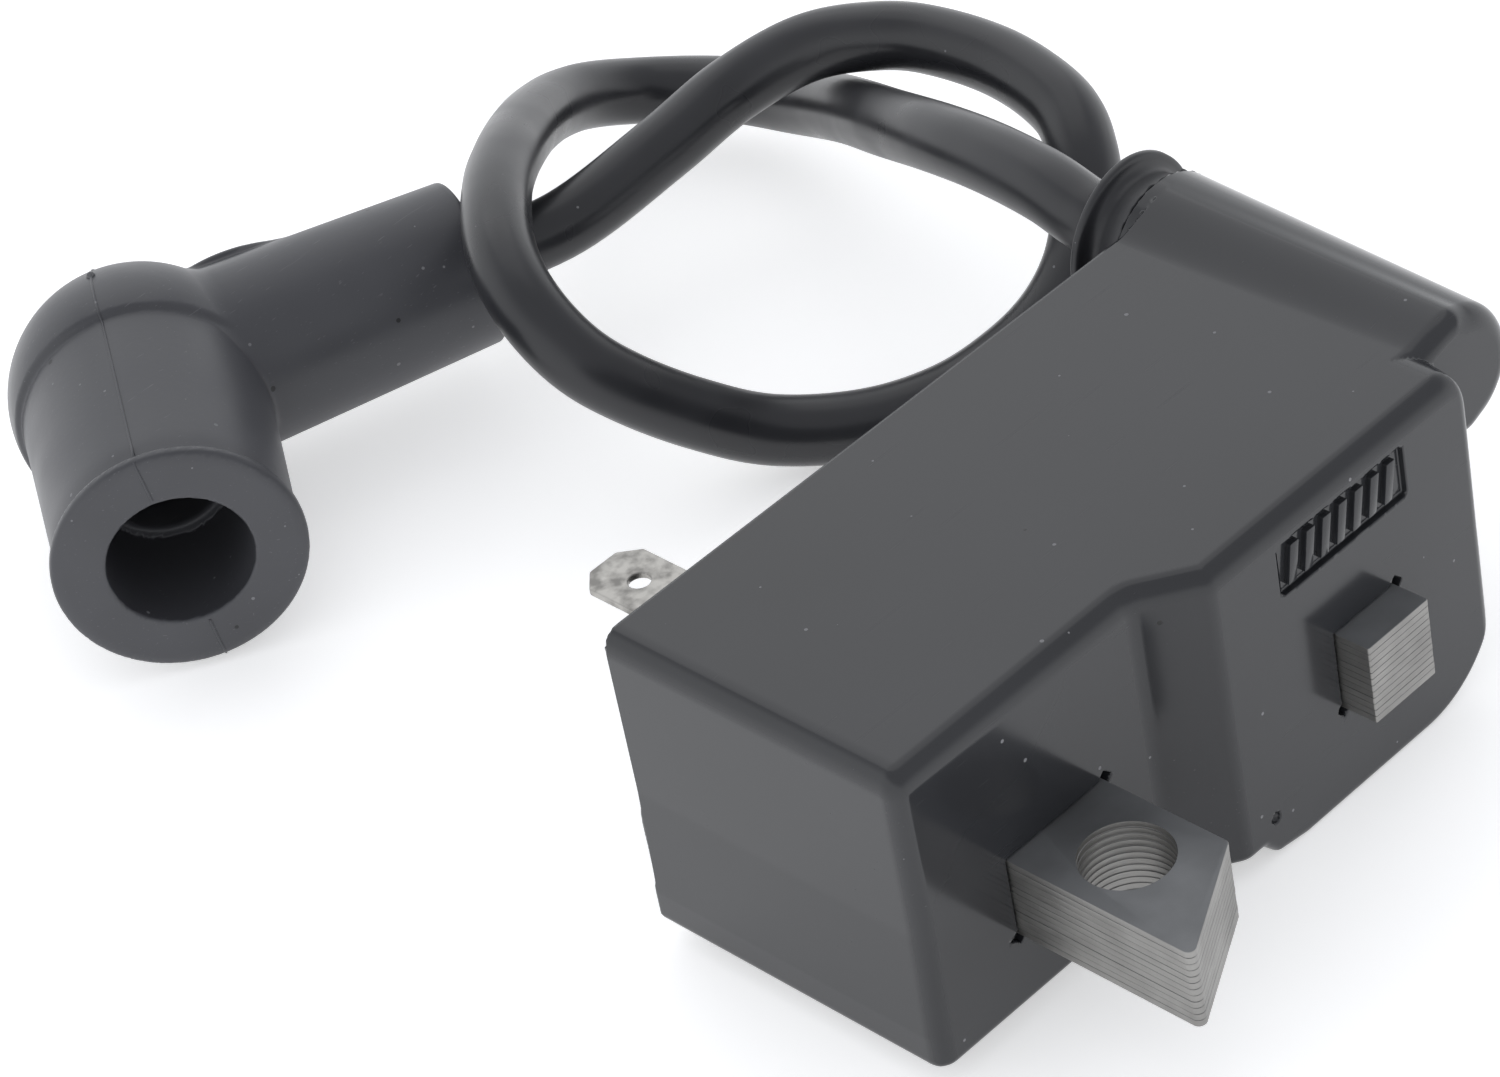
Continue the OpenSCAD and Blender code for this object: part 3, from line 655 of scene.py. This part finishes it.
# Middle line of the lead in the row frame, in millimetres, from inside the tube to inside the boot.
TUBE_LINE = [(23.65, -1.675, 20.4), (23.65, 10, 20.4), (23.65, 20.8, 20.4), (23.65, 23.5, 20.5)]
LOOSE_LINE = [
    (24.3, 28, 20.9), (25.4, 34, 20.3), (27, 40.5, 18.6), (30.5, 49.5, 14.6),
    (35, 59, 9.7), (37.5, 67.5, 6), (37, 74.5, 4.8), (33, 79.3, 5.4),
    (27, 80, 8), (19.5, 76, 11.7), (11, 69, 15.5), (5.5, 63.5, 17.2),
    (1.5, 58.5, 17.3), (-0.3, 54.3, 15.8), (0, 51, 13), (2, 48.7, 10),
    (5.5, 46, 6.5), (9.5, 43, 3.7), (14.5, 39, 2.6), (19.5, 36, 2.8),
    (24, 34.2, 4), (27.6, 33, 6), (30.6, 32.7, 8.7), (33, 33.5, 11.7),
    (35.4, 35.6, 14), (37.8, 39.5, 15.2), (39.2, 46, 15.6), (38.9, 52.5, 15.6),
    (37.4, 57, 15.4), (34.4, 61.6, 14.5), (29.5, 64.8, 12.6), (23, 66, 10.9),
]
SLEEVE_LINE = [tuple(ELBOW + reach * Vector((math.cos(SLEEVE_ANGLE), math.sin(SLEEVE_ANGLE), 0)))
               for reach in (33, 25, 16, 7)]


def smooth_line(points, steps=10):
    """Points along a smooth curve through some points."""
    points = [Vector(point) for point in points]
    line = []
    for i in range(len(points) - 1):
        a, b, c, d = points[max(i - 1, 0)], points[i], points[i + 1], points[min(i + 2, len(points) - 1)]
        for step in range(steps):
            t = step / steps
            line.append(0.5 * (2 * b + (c - a) * t + (2 * a - 5 * b + 4 * c - d) * t ** 2
                               + (3 * b - a - 3 * c + d) * t ** 3))
    return line + [points[-1]]


def case_outlines(sizes):
    """The case's plan (X, Y), open at the back, and its front outline (X, Z), with the corners' radii."""
    back = sizes.depth + 6
    chamfer_x, chamfer_y = sizes.length - 1.4, 0.6
    plan = rounded_corners([
        (0, back, 0), (0, 0, 1.4), (sizes.slope_start, 0, 1.6), (sizes.slope_end, -NOSE_REACH, 1.5),
        (chamfer_x, -NOSE_REACH, 1.0), (sizes.length, chamfer_y, 0.8), (sizes.length, back, 0)])
    step_end, foot_start, foot_flat, lean = 26.6, (27.8, 0.4), 30.5, 0.3
    front = rounded_corners([
        (0, sizes.bottom, 0.5), (step_end, sizes.bottom, 0.6), (*foot_start, 0.8), (foot_flat, 0, 2.0),
        (sizes.length - lean, 0, 7.8), (sizes.length, sizes.top, 3.4), (0, sizes.top, 1.7)])
    return plan, front


def case_field(sizes):
    """Field of the whole case, in the corner frame."""
    plan, front = case_outlines(sizes)

    def field(x, y, z):
        flank = polygon_field(x, y, plan)
        outline = polygon_field(x, z, front)
        tube_r = TUBE_FRONT_R + (TUBE_BACK_R - TUBE_FRONT_R) * y / TUBE_MOUTH
        from_tube = np.hypot(x - TUBE_X + TUBE_LEAN * (1 - y / TUBE_MOUTH), z - TUBE_Z)
        edge = np.interp(z, FOOT_HEIGHTS, [sizes.foot_edge, sizes.edge])
        chamber = np.maximum(meet(flank, outline, edge), y - sizes.depth)
        shoulder = np.minimum(panel_field(x, z, SHOULDER_LOW, (sizes.length, sizes.top)),
                              panel_field(x, z, BRIDGE_LOW, (sizes.length + BRIDGE_REACH, sizes.top)))
        end = meet(join(shoulder, from_tube - tube_r, TUBE_CREASE), -y, sizes.edge)
        tube = np.maximum(from_tube - tube_r, y - TUBE_MOUTH)
        end = np.maximum(end, np.minimum(y - sizes.depth, tube))
        solid = np.minimum(chamber, end)
        hollow = np.maximum(np.maximum(flank + sizes.wall, outline + sizes.wall), tube_r - from_tube)
        solid = np.maximum(solid, -hollow)
        solid = np.maximum(solid, -np.maximum(from_tube - TUBE_BORE_R, TUBE_FLOOR - y))
        for low_x, width in ((LEG_X, LEG_WIDTH), (POLE_X, POLE_WIDTH)):
            window = panel_field(x, z, (low_x - WINDOW_GAP, STACK_LOW - WINDOW_GAP),
                                 (low_x + width + WINDOW_GAP, STACK_HIGH + WINDOW_GAP))
            solid = np.maximum(solid, -np.maximum(window, y - WINDOW_DEPTH))
            for nick_x, nick_z in ((low_x + width, STACK_HIGH), (low_x, STACK_LOW)):
                nick = (np.abs(x - nick_x) + np.abs(z - nick_z) - NICK_REACH) / math.sqrt(2)
                solid = np.maximum(solid, -np.maximum(nick, y - NICK_DEPTH))
        pocket = panel_field(x, z, PLAQUE_LOW, PLAQUE_HIGH, PLAQUE_CORNER)
        solid = np.maximum(solid, -np.maximum(pocket, y + NOSE_REACH - PLAQUE_DEPTH))
        dimple = np.sqrt((x - DIMPLE_X) ** 2 + (y + NOSE_REACH) ** 2 + (z - DIMPLE_Z) ** 2) - DIMPLE_R
        return np.maximum(solid, -dimple)

    return field


def resin_field(sizes):
    """Field of the resin at the open back: it creeps up the walls, the tube and the blade."""
    front = case_outlines(sizes)[1]

    def field(x, y, z):
        inner = polygon_field(x, z, front) + sizes.wall
        from_tube = np.hypot(x - TUBE_X, z - TUBE_Z) - TUBE_BACK_R
        from_blade = panel_field(x, z, (BLADE_X, BLADE_LOW),
                                 (BLADE_X + BLADE_WIDTH, BLADE_LOW + BLADE_THICK))
        nearest = np.minimum(np.minimum(-inner, from_tube), np.maximum(from_blade, 0))
        swell = RESIN_SWELL * np.sin(0.28 * x + 1.0) * np.cos(0.3 * z)
        ripple = RESIN_RIPPLE * np.sin(0.9 * x - 0.7 * z)
        creep = RESIN_CREEP * np.exp(-np.maximum(nearest, 0) / CREEP_WIDTH)
        level = RESIN_BACK - RESIN_SAG + swell + ripple + creep
        sides = np.maximum(inner - RESIN_OVERLAP, -from_tube - RESIN_OVERLAP)
        return np.maximum(sides, np.maximum(y - level, RESIN_FRONT - y))

    return field


def boot_field(sizes):
    """Field of the rubber boot, in its own frame."""
    aim_x, aim_y = math.cos(BARREL_ANGLE), math.sin(BARREL_ANGLE)
    rim = sizes.barrel - FACE_FALL

    def field(x, y, z):
        along = x * aim_x + y * aim_y
        across = np.hypot(y * aim_x - x * aim_y, z)
        dome = meet(np.sqrt(x ** 2 + y ** 2 + z ** 2) - sizes.dome, along - DOME_FOOT, DOME_EDGE)
        face = sizes.barrel - FACE_FALL * np.clip((across - sizes.bore) / FACE_WIDTH, 0, 1.1) ** 1.5
        neck = NECK_DEPTH * np.exp(-((along - rim + 1.0) / 1.2) ** 2)
        taper = BARREL_R - BARREL_TAPER * along / sizes.barrel - neck
        lip = meet(across - LIP_R, np.abs(along - rim + LIP_BACK) - LIP_HALF, FINE_EDGE)
        barrel = join(np.maximum(across - taper, along - rim), lip, FINE_EDGE)
        barrel = meet(np.maximum(barrel, -along), along - face, FINE_EDGE)
        from_sleeve = np.hypot(y, z)
        sleeve_r = SLEEVE_R - SLEEVE_TAPER * x / sizes.sleeve
        sleeve = meet(from_sleeve - sleeve_r, x - sizes.sleeve, SLEEVE_EDGE)
        sleeve = np.maximum(sleeve, -x)
        height, width = y * RIB_TILT_Y + z * RIB_TILT_Z, y * RIB_TILT_Z - z * RIB_TILT_Y
        rib = meet(np.hypot(x - RIB_X, height + RIB_DROP) - RIB_R, np.abs(width) - RIB_HALF, RIB_CREASE)
        rib = np.maximum(rib, -height)
        body = join(join(dome, barrel, FINE_EDGE), sleeve, SLEEVE_CREASE)
        body = join(body, rib, RIB_CREASE)
        hollow = np.maximum(across - sizes.bore, sizes.barrel - PLUG_DEPTH - along)
        hollow = join(hollow, np.maximum(across - CAVITY_R, -CAVITY_R - along), CAVITY_CREASE)
        hollow = np.minimum(hollow, np.maximum(from_sleeve - LEAD_HOLE_R, -x))
        return meet(body, -hollow, FINE_EDGE)

    return field


def parting_path(field, tilt, side, start, end, steps=90):
    """Points where a plane through the barrel's axis leaves the boot, from the mouth over the dome."""
    aim = np.array([math.cos(BARREL_ANGLE), math.sin(BARREL_ANGLE), 0])
    left = np.array([-aim[1], aim[0], 0])
    up = side * (math.cos(tilt) * np.array([0, 0, 1]) + math.sin(tilt) * left)
    outside, pulls, share = 24.0, 60, 0.9
    path = []
    for step in range(steps + 1):
        angle = math.radians(start + (end - start) * step / steps)
        ray = math.cos(angle) * aim + math.sin(angle) * up
        reach = outside
        for _ in range(pulls):
            reach -= share * float(field(*(np.array([c]) for c in ray * reach))[0])
        path.append(ray * reach)
    return path


# ---------------------------------------------------------------- operators


class COIL_OT_camera(bpy.types.Operator):
    """Set up the camera at the viewing angle"""

    bl_idname = "coil.camera"
    bl_label = "Camera"

    def execute(self, context):
        turns = (CAMERA_AZIMUTH, CAMERA_ELEVATION, CAMERA_ROLL)
        azimuth, elevation, roll = (math.radians(turn) for turn in turns)
        lens = bpy.data.cameras.new("viewing camera")
        lens.lens, lens.sensor_width = CAMERA_LENS, CAMERA_SENSOR
        lens.clip_start, lens.clip_end = 0.01, 20
        camera = bpy.data.objects.new("viewing camera", lens)
        context.collection.objects.link(camera)
        back = Vector((math.sin(azimuth) * math.cos(elevation), -math.cos(azimuth) * math.cos(elevation),
                       math.sin(elevation)))
        level = Vector((0, 0, 1)).cross(back).normalized()
        upright = back.cross(level)
        right = level * math.cos(roll) + upright * math.sin(roll)
        turned = Matrix((right, back.cross(right), back)).transposed()
        camera.matrix_world = Matrix.Translation(CAMERA_PLACE * MM) @ turned.to_4x4()
        context.scene.camera = camera
        return {"FINISHED"}


class COIL_OT_lead(bpy.types.Operator):
    """Lay the high tension lead in its loose knot"""

    bl_idname = "coil.lead"
    bl_label = "High tension lead"

    def execute(self, context):
        scene = context.scene
        sizes = scene.coil_lead
        line = smooth_line(TUBE_LINE + LOOSE_LINE + SLEEVE_LINE)
        rubber = moulded_finish("Satin lead rubber", scene.coil_colours.rubber, rough=0.25,
                                rough_spread=0.12, grain_scale=2600.0, grain_depth=0.000004, dust=0.2,
                                dust_size=0.06)
        data = strand("plug_lead", [point * MM for point in line], sizes.diameter / 2, 10)
        lead = new_piece("plug_lead", data, rubber, "unit", "lead_rubber", "lead_jacket")
        return {"FINISHED"}


class COIL_OT_boot(bpy.types.Operator):
    """Mould the elbow boot with its parting line and the spring inside"""

    bl_idname = "coil.boot"
    bl_label = "Plug boot"

    def execute(self, context):
        scene = context.scene
        sizes = scene.coil_lead
        field = boot_field(sizes)
        step = 0.25
        skinned = skin(field, planes((-14.6, 26.4, step)), planes((-23.6, 10.2, step)),
                       planes((-10.0, 10.0, step)))
        rubber = moulded_finish("Boot rubber", scene.coil_colours.boot, rough=0.30, rough_spread=0.20,
                                grain_scale=1500.0, grain_depth=0.000016, dust=0.5, dust_size=0.09,
                                pits=0.25, scuffs=0.4)
        mesh = mesh_from_skin("plug_boot", skinned, BOOT_FRAME)
        new_piece("plug_boot", mesh, rubber, "boot", "boot_rubber", "boot")
        self.parting_line("parting_line_top", field, rubber, side=1, end=168, nub=slice(54, 56))
        self.parting_line("parting_line_low", field, rubber, side=-1, end=100)
        steel = tin_finish("Spring wire", scene.coil_colours.tin, rough=0.22)
        new_piece("terminal_spring", self.spring(), steel, "boot", "tinned_steel", "plug_spring")
        return {"FINISHED"}

    def parting_line(self, name, field, rubber, side, end, nub=slice(0)):
        """The mould's seam from the mouth over the boot, with the small nub where the rubber was let in."""
        tilt, start, half_width, nub_scale = math.radians(-8), 15.2, 0.09 * MM, 3.6
        path = parting_path(field, tilt, side, start, end)
        data = strand(name, [BOOT_FRAME @ Vector(point) for point in path], half_width, 2)
        for point in data.splines[0].points[nub]:
            point.radius = nub_scale
        new_piece(name, data, rubber, "boot", "boot_rubber")

    def spring(self):
        """The contact spring that stands in the cavity behind the plug's terminal."""
        turns, turn_steps, pitch, radius, wire, start = 5, 36, 1.3, 3.0, 0.4 * MM, 0.95
        aim = Matrix.Rotation(BARREL_ANGLE, 4, "Z") @ Matrix.Rotation(math.radians(90), 4, "Y")
        coil = []
        for step in range(turns * turn_steps + 1):
            angle = math.tau * step / turn_steps
            height = start + pitch * step / turn_steps
            place = Vector((radius * math.cos(angle), radius * math.sin(angle), height))
            coil.append(BOOT_FRAME @ aim @ place)
        return strand("terminal_spring", coil, wire, 4)


class COIL_OT_case(bpy.types.Operator):
    """Mould the case with its lead tube, windows and plaque"""

    bl_idname = "coil.case"
    bl_label = "Case"

    def execute(self, context):
        scene = context.scene
        sizes = scene.coil_case
        # The grid is fine where the case has edges, windows, the plaque or the tube, and coarse elsewhere.
        xs = planes((-0.4, 1.6, 0.2), (1.6, 7.4, 1.0), (7.4, 8.8, 0.16), (8.8, 16.0, 1.0),
                    (16.0, 17.6, 0.16), (17.6, 19.4, 0.6), (19.4, 27.2, 0.26), (27.2, 28.4, 0.12),
                    (28.4, 31.4, 0.3), (31.4, 34.2, 0.5), (34.2, 35.8, 0.16), (35.8, 40.0, 0.6),
                    (40.0, 43.4, 0.17), (43.4, 59.2, 0.26))
        ys = planes((-3.4, 1.6, 0.2), (1.6, 3.4, 0.3), (3.4, 22.9, 1.9), (22.9, 26.0, 0.25))
        zs = planes((-0.4, 2.8, 0.2), (2.8, 4.0, 0.12), (4.0, 6.4, 0.4), (6.4, 8.0, 0.16), (8.0, 12.4, 1.0),
                    (12.4, 14.0, 0.16), (14.0, 15.4, 0.4), (15.4, 26.4, 0.25))
        plastic = case_finish(scene.coil_colours.case)
        mesh = mesh_from_skin("case_shell", skin(case_field(sizes), xs, ys, zs), CORNER_FRAME)
        new_piece("case_shell", mesh, plastic, "unit", "case_plastic", "housing")
        new_piece("plaque_bars", self.bars(), plastic, "unit", "case_plastic")
        return {"FINISHED"}

    def bars(self):
        """Plain slanted bars that stand in the plaque's pocket."""
        count, width, slant, height = 7, 0.8, 0.6, 2.8
        margin_x, margin_z, proud, root, bevel = 0.6, 0.5, 0.02, 0.7, 0.12 * MM
        face_y, foot_y = -NOSE_REACH - proud, -NOSE_REACH + root
        pitch = (PLAQUE_HIGH[0] - PLAQUE_LOW[0] - 2 * margin_x) / count
        shape = bmesh.new()
        for i in range(count):
            x, z = PLAQUE_LOW[0] + margin_x + i * pitch, PLAQUE_LOW[1] + margin_z
            outline = [(x, z), (x + width, z), (x + width + slant, z + height), (x + slant, z + height)]
            front = [shape.verts.new(CORNER_FRAME @ Vector((u, face_y, v))) for u, v in outline]
            back = [shape.verts.new(CORNER_FRAME @ Vector((u, foot_y, v))) for u, v in outline]
            shape.faces.new(front)
            shape.faces.new(back[::-1])
            for a in range(4):
                b = (a + 1) % 4
                shape.faces.new((front[a], back[a], back[b], front[b]))
        bmesh.ops.recalc_face_normals(shape, faces=shape.faces)
        bmesh.ops.bevel(shape, geom=shape.edges[:], offset=bevel, segments=2, affect="EDGES", profile=0.5)
        mesh = mesh_of(shape, "plaque_bars")
        return smooth_by_angle(mesh)


class COIL_OT_resin(bpy.types.Operator):
    """Pour the resin that closes the back"""

    bl_idname = "coil.resin"
    bl_label = "Resin"

    def execute(self, context):
        scene = context.scene
        sizes = scene.coil_case
        skinned = skin(resin_field(sizes), planes((1.0, 50.2, 0.4)),
                       planes((22.0, 22.6, 0.2), (22.6, 25.0, 0.3)), planes((1.0, 24.2, 0.4)))
        resin = moulded_finish("Casting resin", scene.coil_colours.case, rough=0.10, rough_spread=0.10,
                               grain_scale=300.0, grain_depth=0.000006, dust=0.05)
        mesh = mesh_from_skin("resin_fill", skinned, CORNER_FRAME)
        new_piece("resin_fill", mesh, resin, "unit", "resin", "potting")
        return {"FINISHED"}


class COIL_OT_core(bpy.types.Operator):
    """Stack the stamped sheets of the core"""

    bl_idname = "coil.core"
    bl_label = "Core"

    def execute(self, context):
        scene = context.scene
        sizes = scene.coil_core
        leg_far, pole_far = LEG_X + LEG_WIDTH, POLE_X + POLE_WIDTH
        leg_tip, leg_shoulder, pole_tip, yoke_front, yoke_back = -14.65, -9.85, -5.6, 16, 21.6
        bolt_y, bolt_r, gap, seed = -5.6, 3.1, 0.02, 7
        outline = rounded_corners([
            (LEG_X, leg_tip, 0.5), (leg_far, leg_shoulder, 0.4), (leg_far, yoke_front, 0),
            (POLE_X, yoke_front, 0), (POLE_X, pole_tip, 0.12), (pole_far, pole_tip, 0.12),
            (pole_far, yoke_back, 0), (LEG_X, yoke_back, 0)])
        sheet = stamped(outline, (LEG_X + LEG_WIDTH / 2, bolt_y), bolt_r, sizes.pitch - gap, sizes.burr)
        shift = np.random.default_rng(seed)
        shape = bmesh.new()
        for i in range(sizes.sheets):
            before = len(shape.verts)
            shape.from_mesh(sheet)
            shape.verts.ensure_lookup_table()
            aside = shift.uniform(-sizes.stagger, sizes.stagger, 2)
            place = Vector((aside[0], aside[1] * 0.5, STACK_LOW + (i + 0.5) * sizes.pitch))
            bmesh.ops.translate(shape, verts=shape.verts[before:], vec=place)
        bmesh.ops.transform(shape, matrix=CORNER_FRAME, verts=shape.verts)
        mesh = mesh_of(shape, "core_stack")
        bpy.data.meshes.remove(sheet)
        steel = core_finish(scene.coil_colours.steel, scene.coil_colours.scale)
        new_piece("core_stack", smooth_by_angle(mesh, 50), steel, "unit", "core_steel", "core_sheets")
        return {"FINISHED"}


class COIL_OT_blade(bpy.types.Operator):
    """Stamp the flat stop terminal"""

    bl_idname = "coil.blade"
    bl_label = "Stop terminal"

    def execute(self, context):
        tip, chamfer, foot, burr = 32.0, 1.25, 19.4, 0.1
        hole_set_back, hole_r = 3.3, 0.75
        leg_low, leg_hole, leg_hole_r = 15.6, 18.5, 0.5
        left, right = BLADE_X, BLADE_X + BLADE_WIDTH
        middle = left + BLADE_WIDTH / 2
        outline = rounded_corners([
            (left, foot, 0), (right, foot, 0), (right, tip - chamfer, 0.3), (right - chamfer, tip, 0.3),
            (left + chamfer, tip, 0.3), (left, tip - chamfer, 0.3)])
        flat = stamped(outline, (middle, tip - hole_set_back), hole_r, BLADE_THICK, burr, 40)
        shape = bmesh.new()
        shape.from_mesh(flat)
        bmesh.ops.translate(shape, verts=shape.verts, vec=(0, 0, BLADE_LOW + BLADE_THICK / 2))
        leg_top = BLADE_LOW + burr
        leg = stamped([(left, leg_low), (right, leg_low), (right, leg_top), (left, leg_top)],
                      (middle, leg_hole), leg_hole_r, BLADE_THICK, burr, 24)
        before = len(shape.verts)
        shape.from_mesh(leg)
        shape.verts.ensure_lookup_table()
        bmesh.ops.transform(shape, matrix=Matrix.Translation((0, foot + BLADE_THICK / 2, 0))
                            @ Matrix.Rotation(math.radians(90), 4, "X"), verts=shape.verts[before:])
        bmesh.ops.transform(shape, matrix=CORNER_FRAME, verts=shape.verts)
        mesh = mesh_of(shape, "stop_blade")
        for spare in (flat, leg):
            bpy.data.meshes.remove(spare)
        tin = tin_finish("Tinned blade", context.scene.coil_colours.tin)
        new_piece("stop_blade", smooth_by_angle(mesh, 50), tin, "unit", "tinned_blade", "stop_terminal")
        return {"FINISHED"}


class COIL_OT_bushing(bpy.types.Operator):
    """Turn the rubber bushing at the mouth of the lead tube"""

    bl_idname = "coil.bushing"
    bl_label = "Lead bushing"

    def execute(self, context):
        place = CORNER_FRAME @ Matrix.Translation((TUBE_X, 0, TUBE_Z))
        # Radius and place along the tube.
        plug = [(2.55, 15), (3.36, 15), (3.36, TUBE_MOUTH)]
        collar = [(5.05, 25.52), (5.1, 25.62), (5.06, 25.8), (4.95, 26.2), (4.82, 26.7), (4.72, 27.2),
                  (4.72, 27.55), (4.82, 27.8), (5.05, 28.0)]
        flange = [(5.4, 28.1), (5.68, 28.14), (5.8, 28.25), (5.82, 28.6), (5.74, 28.72), (5.6, 28.78)]
        end_face = [(4.6, 28.8), (3.4, 28.6), (2.7, 28.8), (2.56, 28.7)]
        profile = plug + collar + flange + end_face

        def uneven(radius, y, angle):
            """Moulding faults: the flange is slightly out of round."""
            return 0.05 * math.sin(3 * angle + y) * (radius > 4)

        rubber = moulded_finish("Bushing rubber", context.scene.coil_colours.rubber, rough=0.32,
                                rough_spread=0.16, grain_scale=1800.0, grain_depth=0.00001, dust=0.3)
        new_piece("rubber_bushing", lathe("rubber_bushing", profile, place, 96, uneven), rubber, "unit",
                  "bushing_rubber", "lead_bushing")

        def ragged(radius, y, angle):
            """Torn edge of the flash that was squeezed out at the tube's mouth."""
            if radius < 5:
                return 0.0
            return 0.1 * math.sin(7 * angle) * math.sin(13 * angle + 1) + 0.06 * math.sin(31 * angle)

        flash = [(4.6, TUBE_MOUTH), (5.3, TUBE_MOUTH), (5.36, 25.56), (5.3, 25.62), (4.6, 25.7)]
        new_piece("bushing_flash", lathe("bushing_flash", flash, place, 144, ragged), rubber, "unit",
                  "bushing_rubber")
        return {"FINISHED"}


class COIL_OT_inner(bpy.types.Operator):
    """Give the parts inside the case and the boot their finishes"""

    bl_idname = "coil.inner"
    bl_label = "Inner parts"

    def execute(self, context):
        colours = context.scene.coil_colours
        # Each moulding's colour, roughness, its spread, and the grain's scale and depth.
        mouldings = {
            "Bobbin nylon": ((0.72, 0.68, 0.55), 0.4, 0.15, 1200.0, 0.00001),
            "Component epoxy": ((0.03, 0.03, 0.032), 0.4, 0.15, 2500.0, 0.00001),
            "Circuit board": ((0.03, 0.16, 0.07), 0.3, 0.15, 2000.0, 0.00001),
            "Dipped film capacitor": ((0.45, 0.13, 0.04), 0.22, 0.1, 900.0, 0.00002),
            "Resistor lacquer": ((0.60, 0.47, 0.28), 0.3, 0.12, 1500.0, 0.00001),
        }
        nylon, black, board, dipped, lacquer = (moulded_finish(name, *values, dust=0.0)
                                                for name, values in mouldings.items())
        thick = wound_finish("Primary wire", (0.72, 0.30, 0.12), pitch=0.0003)
        thin = wound_finish("Secondary wire", (0.62, 0.22, 0.08), pitch=0.00012)
        copper = tin_finish("Bare copper", (0.80, 0.42, 0.24), rough=0.3, stain_scale=900.0)
        brass = tin_finish("Contact brass", (0.75, 0.58, 0.28), rough=0.3, stain_scale=500.0)
        tinned = tin_finish("Tinned steel", colours.tin, rough=0.25, stain_scale=500.0)
        finishes = {
            "core_rivets": tinned, "primary_bobbin": nylon, "primary_winding": thick,
            "trigger_winding": thick, "secondary_bobbin": nylon, "secondary_winding": thin,
            "coil_links": copper, "ht_terminal": brass, "ht_link": copper, "circuit_board": board,
            "power_transistor": black, "trigger_transistor": black, "capacitor": dipped,
            "resistors": lacquer, "diode": black, "ground_spring": tinned, "lead_cores": copper,
            "contact_hook": tinned,
        }
        for name, finish in finishes.items():
            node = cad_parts[name]
            node.data.materials.clear()
            node.data.materials.append(finish)
        return {"FINISHED"}


class COIL_OT_stage(bpy.types.Operator):
    """Set the pale floor and the soft lights"""

    bl_idname = "coil.stage"
    bl_label = "Stage"

    def execute(self, context):
        scene = context.scene
        half = 3.0
        corners = ((-half, -half), (half, -half), (half, half), (-half, half))
        shape = bmesh.new()
        shape.faces.new([shape.verts.new((x, y, 0)) for x, y in corners])
        mesh = mesh_of(shape, "floor")
        floor = bpy.data.objects.new("floor", mesh)
        context.collection.objects.link(floor)
        finish, _, shader = new_finish("Pale floor", Roughness=0.75, Emission_Strength=0.5)
        shader.inputs["Base Color"].default_value = (*scene.coil_colours.floor, 1)
        shader.inputs["Emission Color"].default_value = (*scene.coil_colours.floor, 1)
        mesh.materials.append(finish)
        world = bpy.data.worlds.new("soft tent")
        world.use_nodes = True
        tent_top = Vector((0.1, -0.25, 0.96))
        bright_wall, dim_roof = (1.17, 1.19, 1.22, 1), (0.60, 0.61, 0.64, 1)
        nodes = Nodes(world.node_tree)
        outward = nodes.add("ShaderNodeTexCoord").outputs["Generated"]
        overhead = nodes.add("ShaderNodeVectorMath", operation="DOT_PRODUCT",
                             inputs={0: outward, 1: tent_top})
        shaded = nodes.ramp(overhead.outputs["Value"], 0.35, 0.68)
        tent = nodes.mix(shaded, bright_wall, dim_roof)
        nodes.give(tent, world.node_tree.nodes["Background"].inputs["Color"])
        scene.world = world
        self.softbox(context, "back softbox", place=(0.35, 0.45, 0.8), size=0.8, power=1.0)
        scene.view_settings.view_transform = "Standard"
        return {"FINISHED"}

    def softbox(self, context, name, place, size, power):
        """A square soft light aimed at the object."""
        light = bpy.data.lights.new(name, "AREA")
        light.shape, light.size, light.energy = "SQUARE", size, power
        lamp = bpy.data.objects.new(name, light)
        lamp.location = place
        lamp.rotation_euler = (-Vector(place)).to_track_quat("-Z", "Y").to_euler()
        context.collection.objects.link(lamp)


class COIL_PT_panel(bpy.types.Panel):
    """Sizes, colours and steps of the ignition coil"""

    bl_label = "Ignition coil"
    bl_idname = "COIL_PT_panel"
    bl_space_type = "VIEW_3D"
    bl_region_type = "UI"
    bl_category = "Ignition coil"

    def draw(self, context):
        for group in SETTINGS:
            values = getattr(context.scene, group)
            box = self.layout.box()
            for key in values.bl_rna.properties.keys():
                if key not in ("rna_type", "name"):
                    box.prop(values, key)
        for step in STEPS:
            self.layout.operator(step.bl_idname)


SETTINGS = {"coil_case": CaseSizes, "coil_core": CoreSizes, "coil_lead": LeadSizes,
            "coil_colours": FinishColours}
STEPS = [COIL_OT_camera, COIL_OT_boot, COIL_OT_lead, COIL_OT_case, COIL_OT_resin, COIL_OT_core,
         COIL_OT_blade, COIL_OT_bushing, COIL_OT_inner, COIL_OT_stage]


def register():
    for made in [*SETTINGS.values(), *STEPS, COIL_PT_panel]:
        bpy.utils.register_class(made)
    for name, group in SETTINGS.items():
        setattr(bpy.types.Scene, name, PointerProperty(type=group))


def unregister():
    for name in SETTINGS:
        delattr(bpy.types.Scene, name)
    for made in reversed([*SETTINGS.values(), *STEPS, COIL_PT_panel]):
        bpy.utils.unregister_class(made)


def main():
    """Builds the whole object."""
    register()
    for step in STEPS:
        group, name = step.bl_idname.split(".")
        getattr(getattr(bpy.ops, group), name)()


if __name__ == "__main__":
    main()
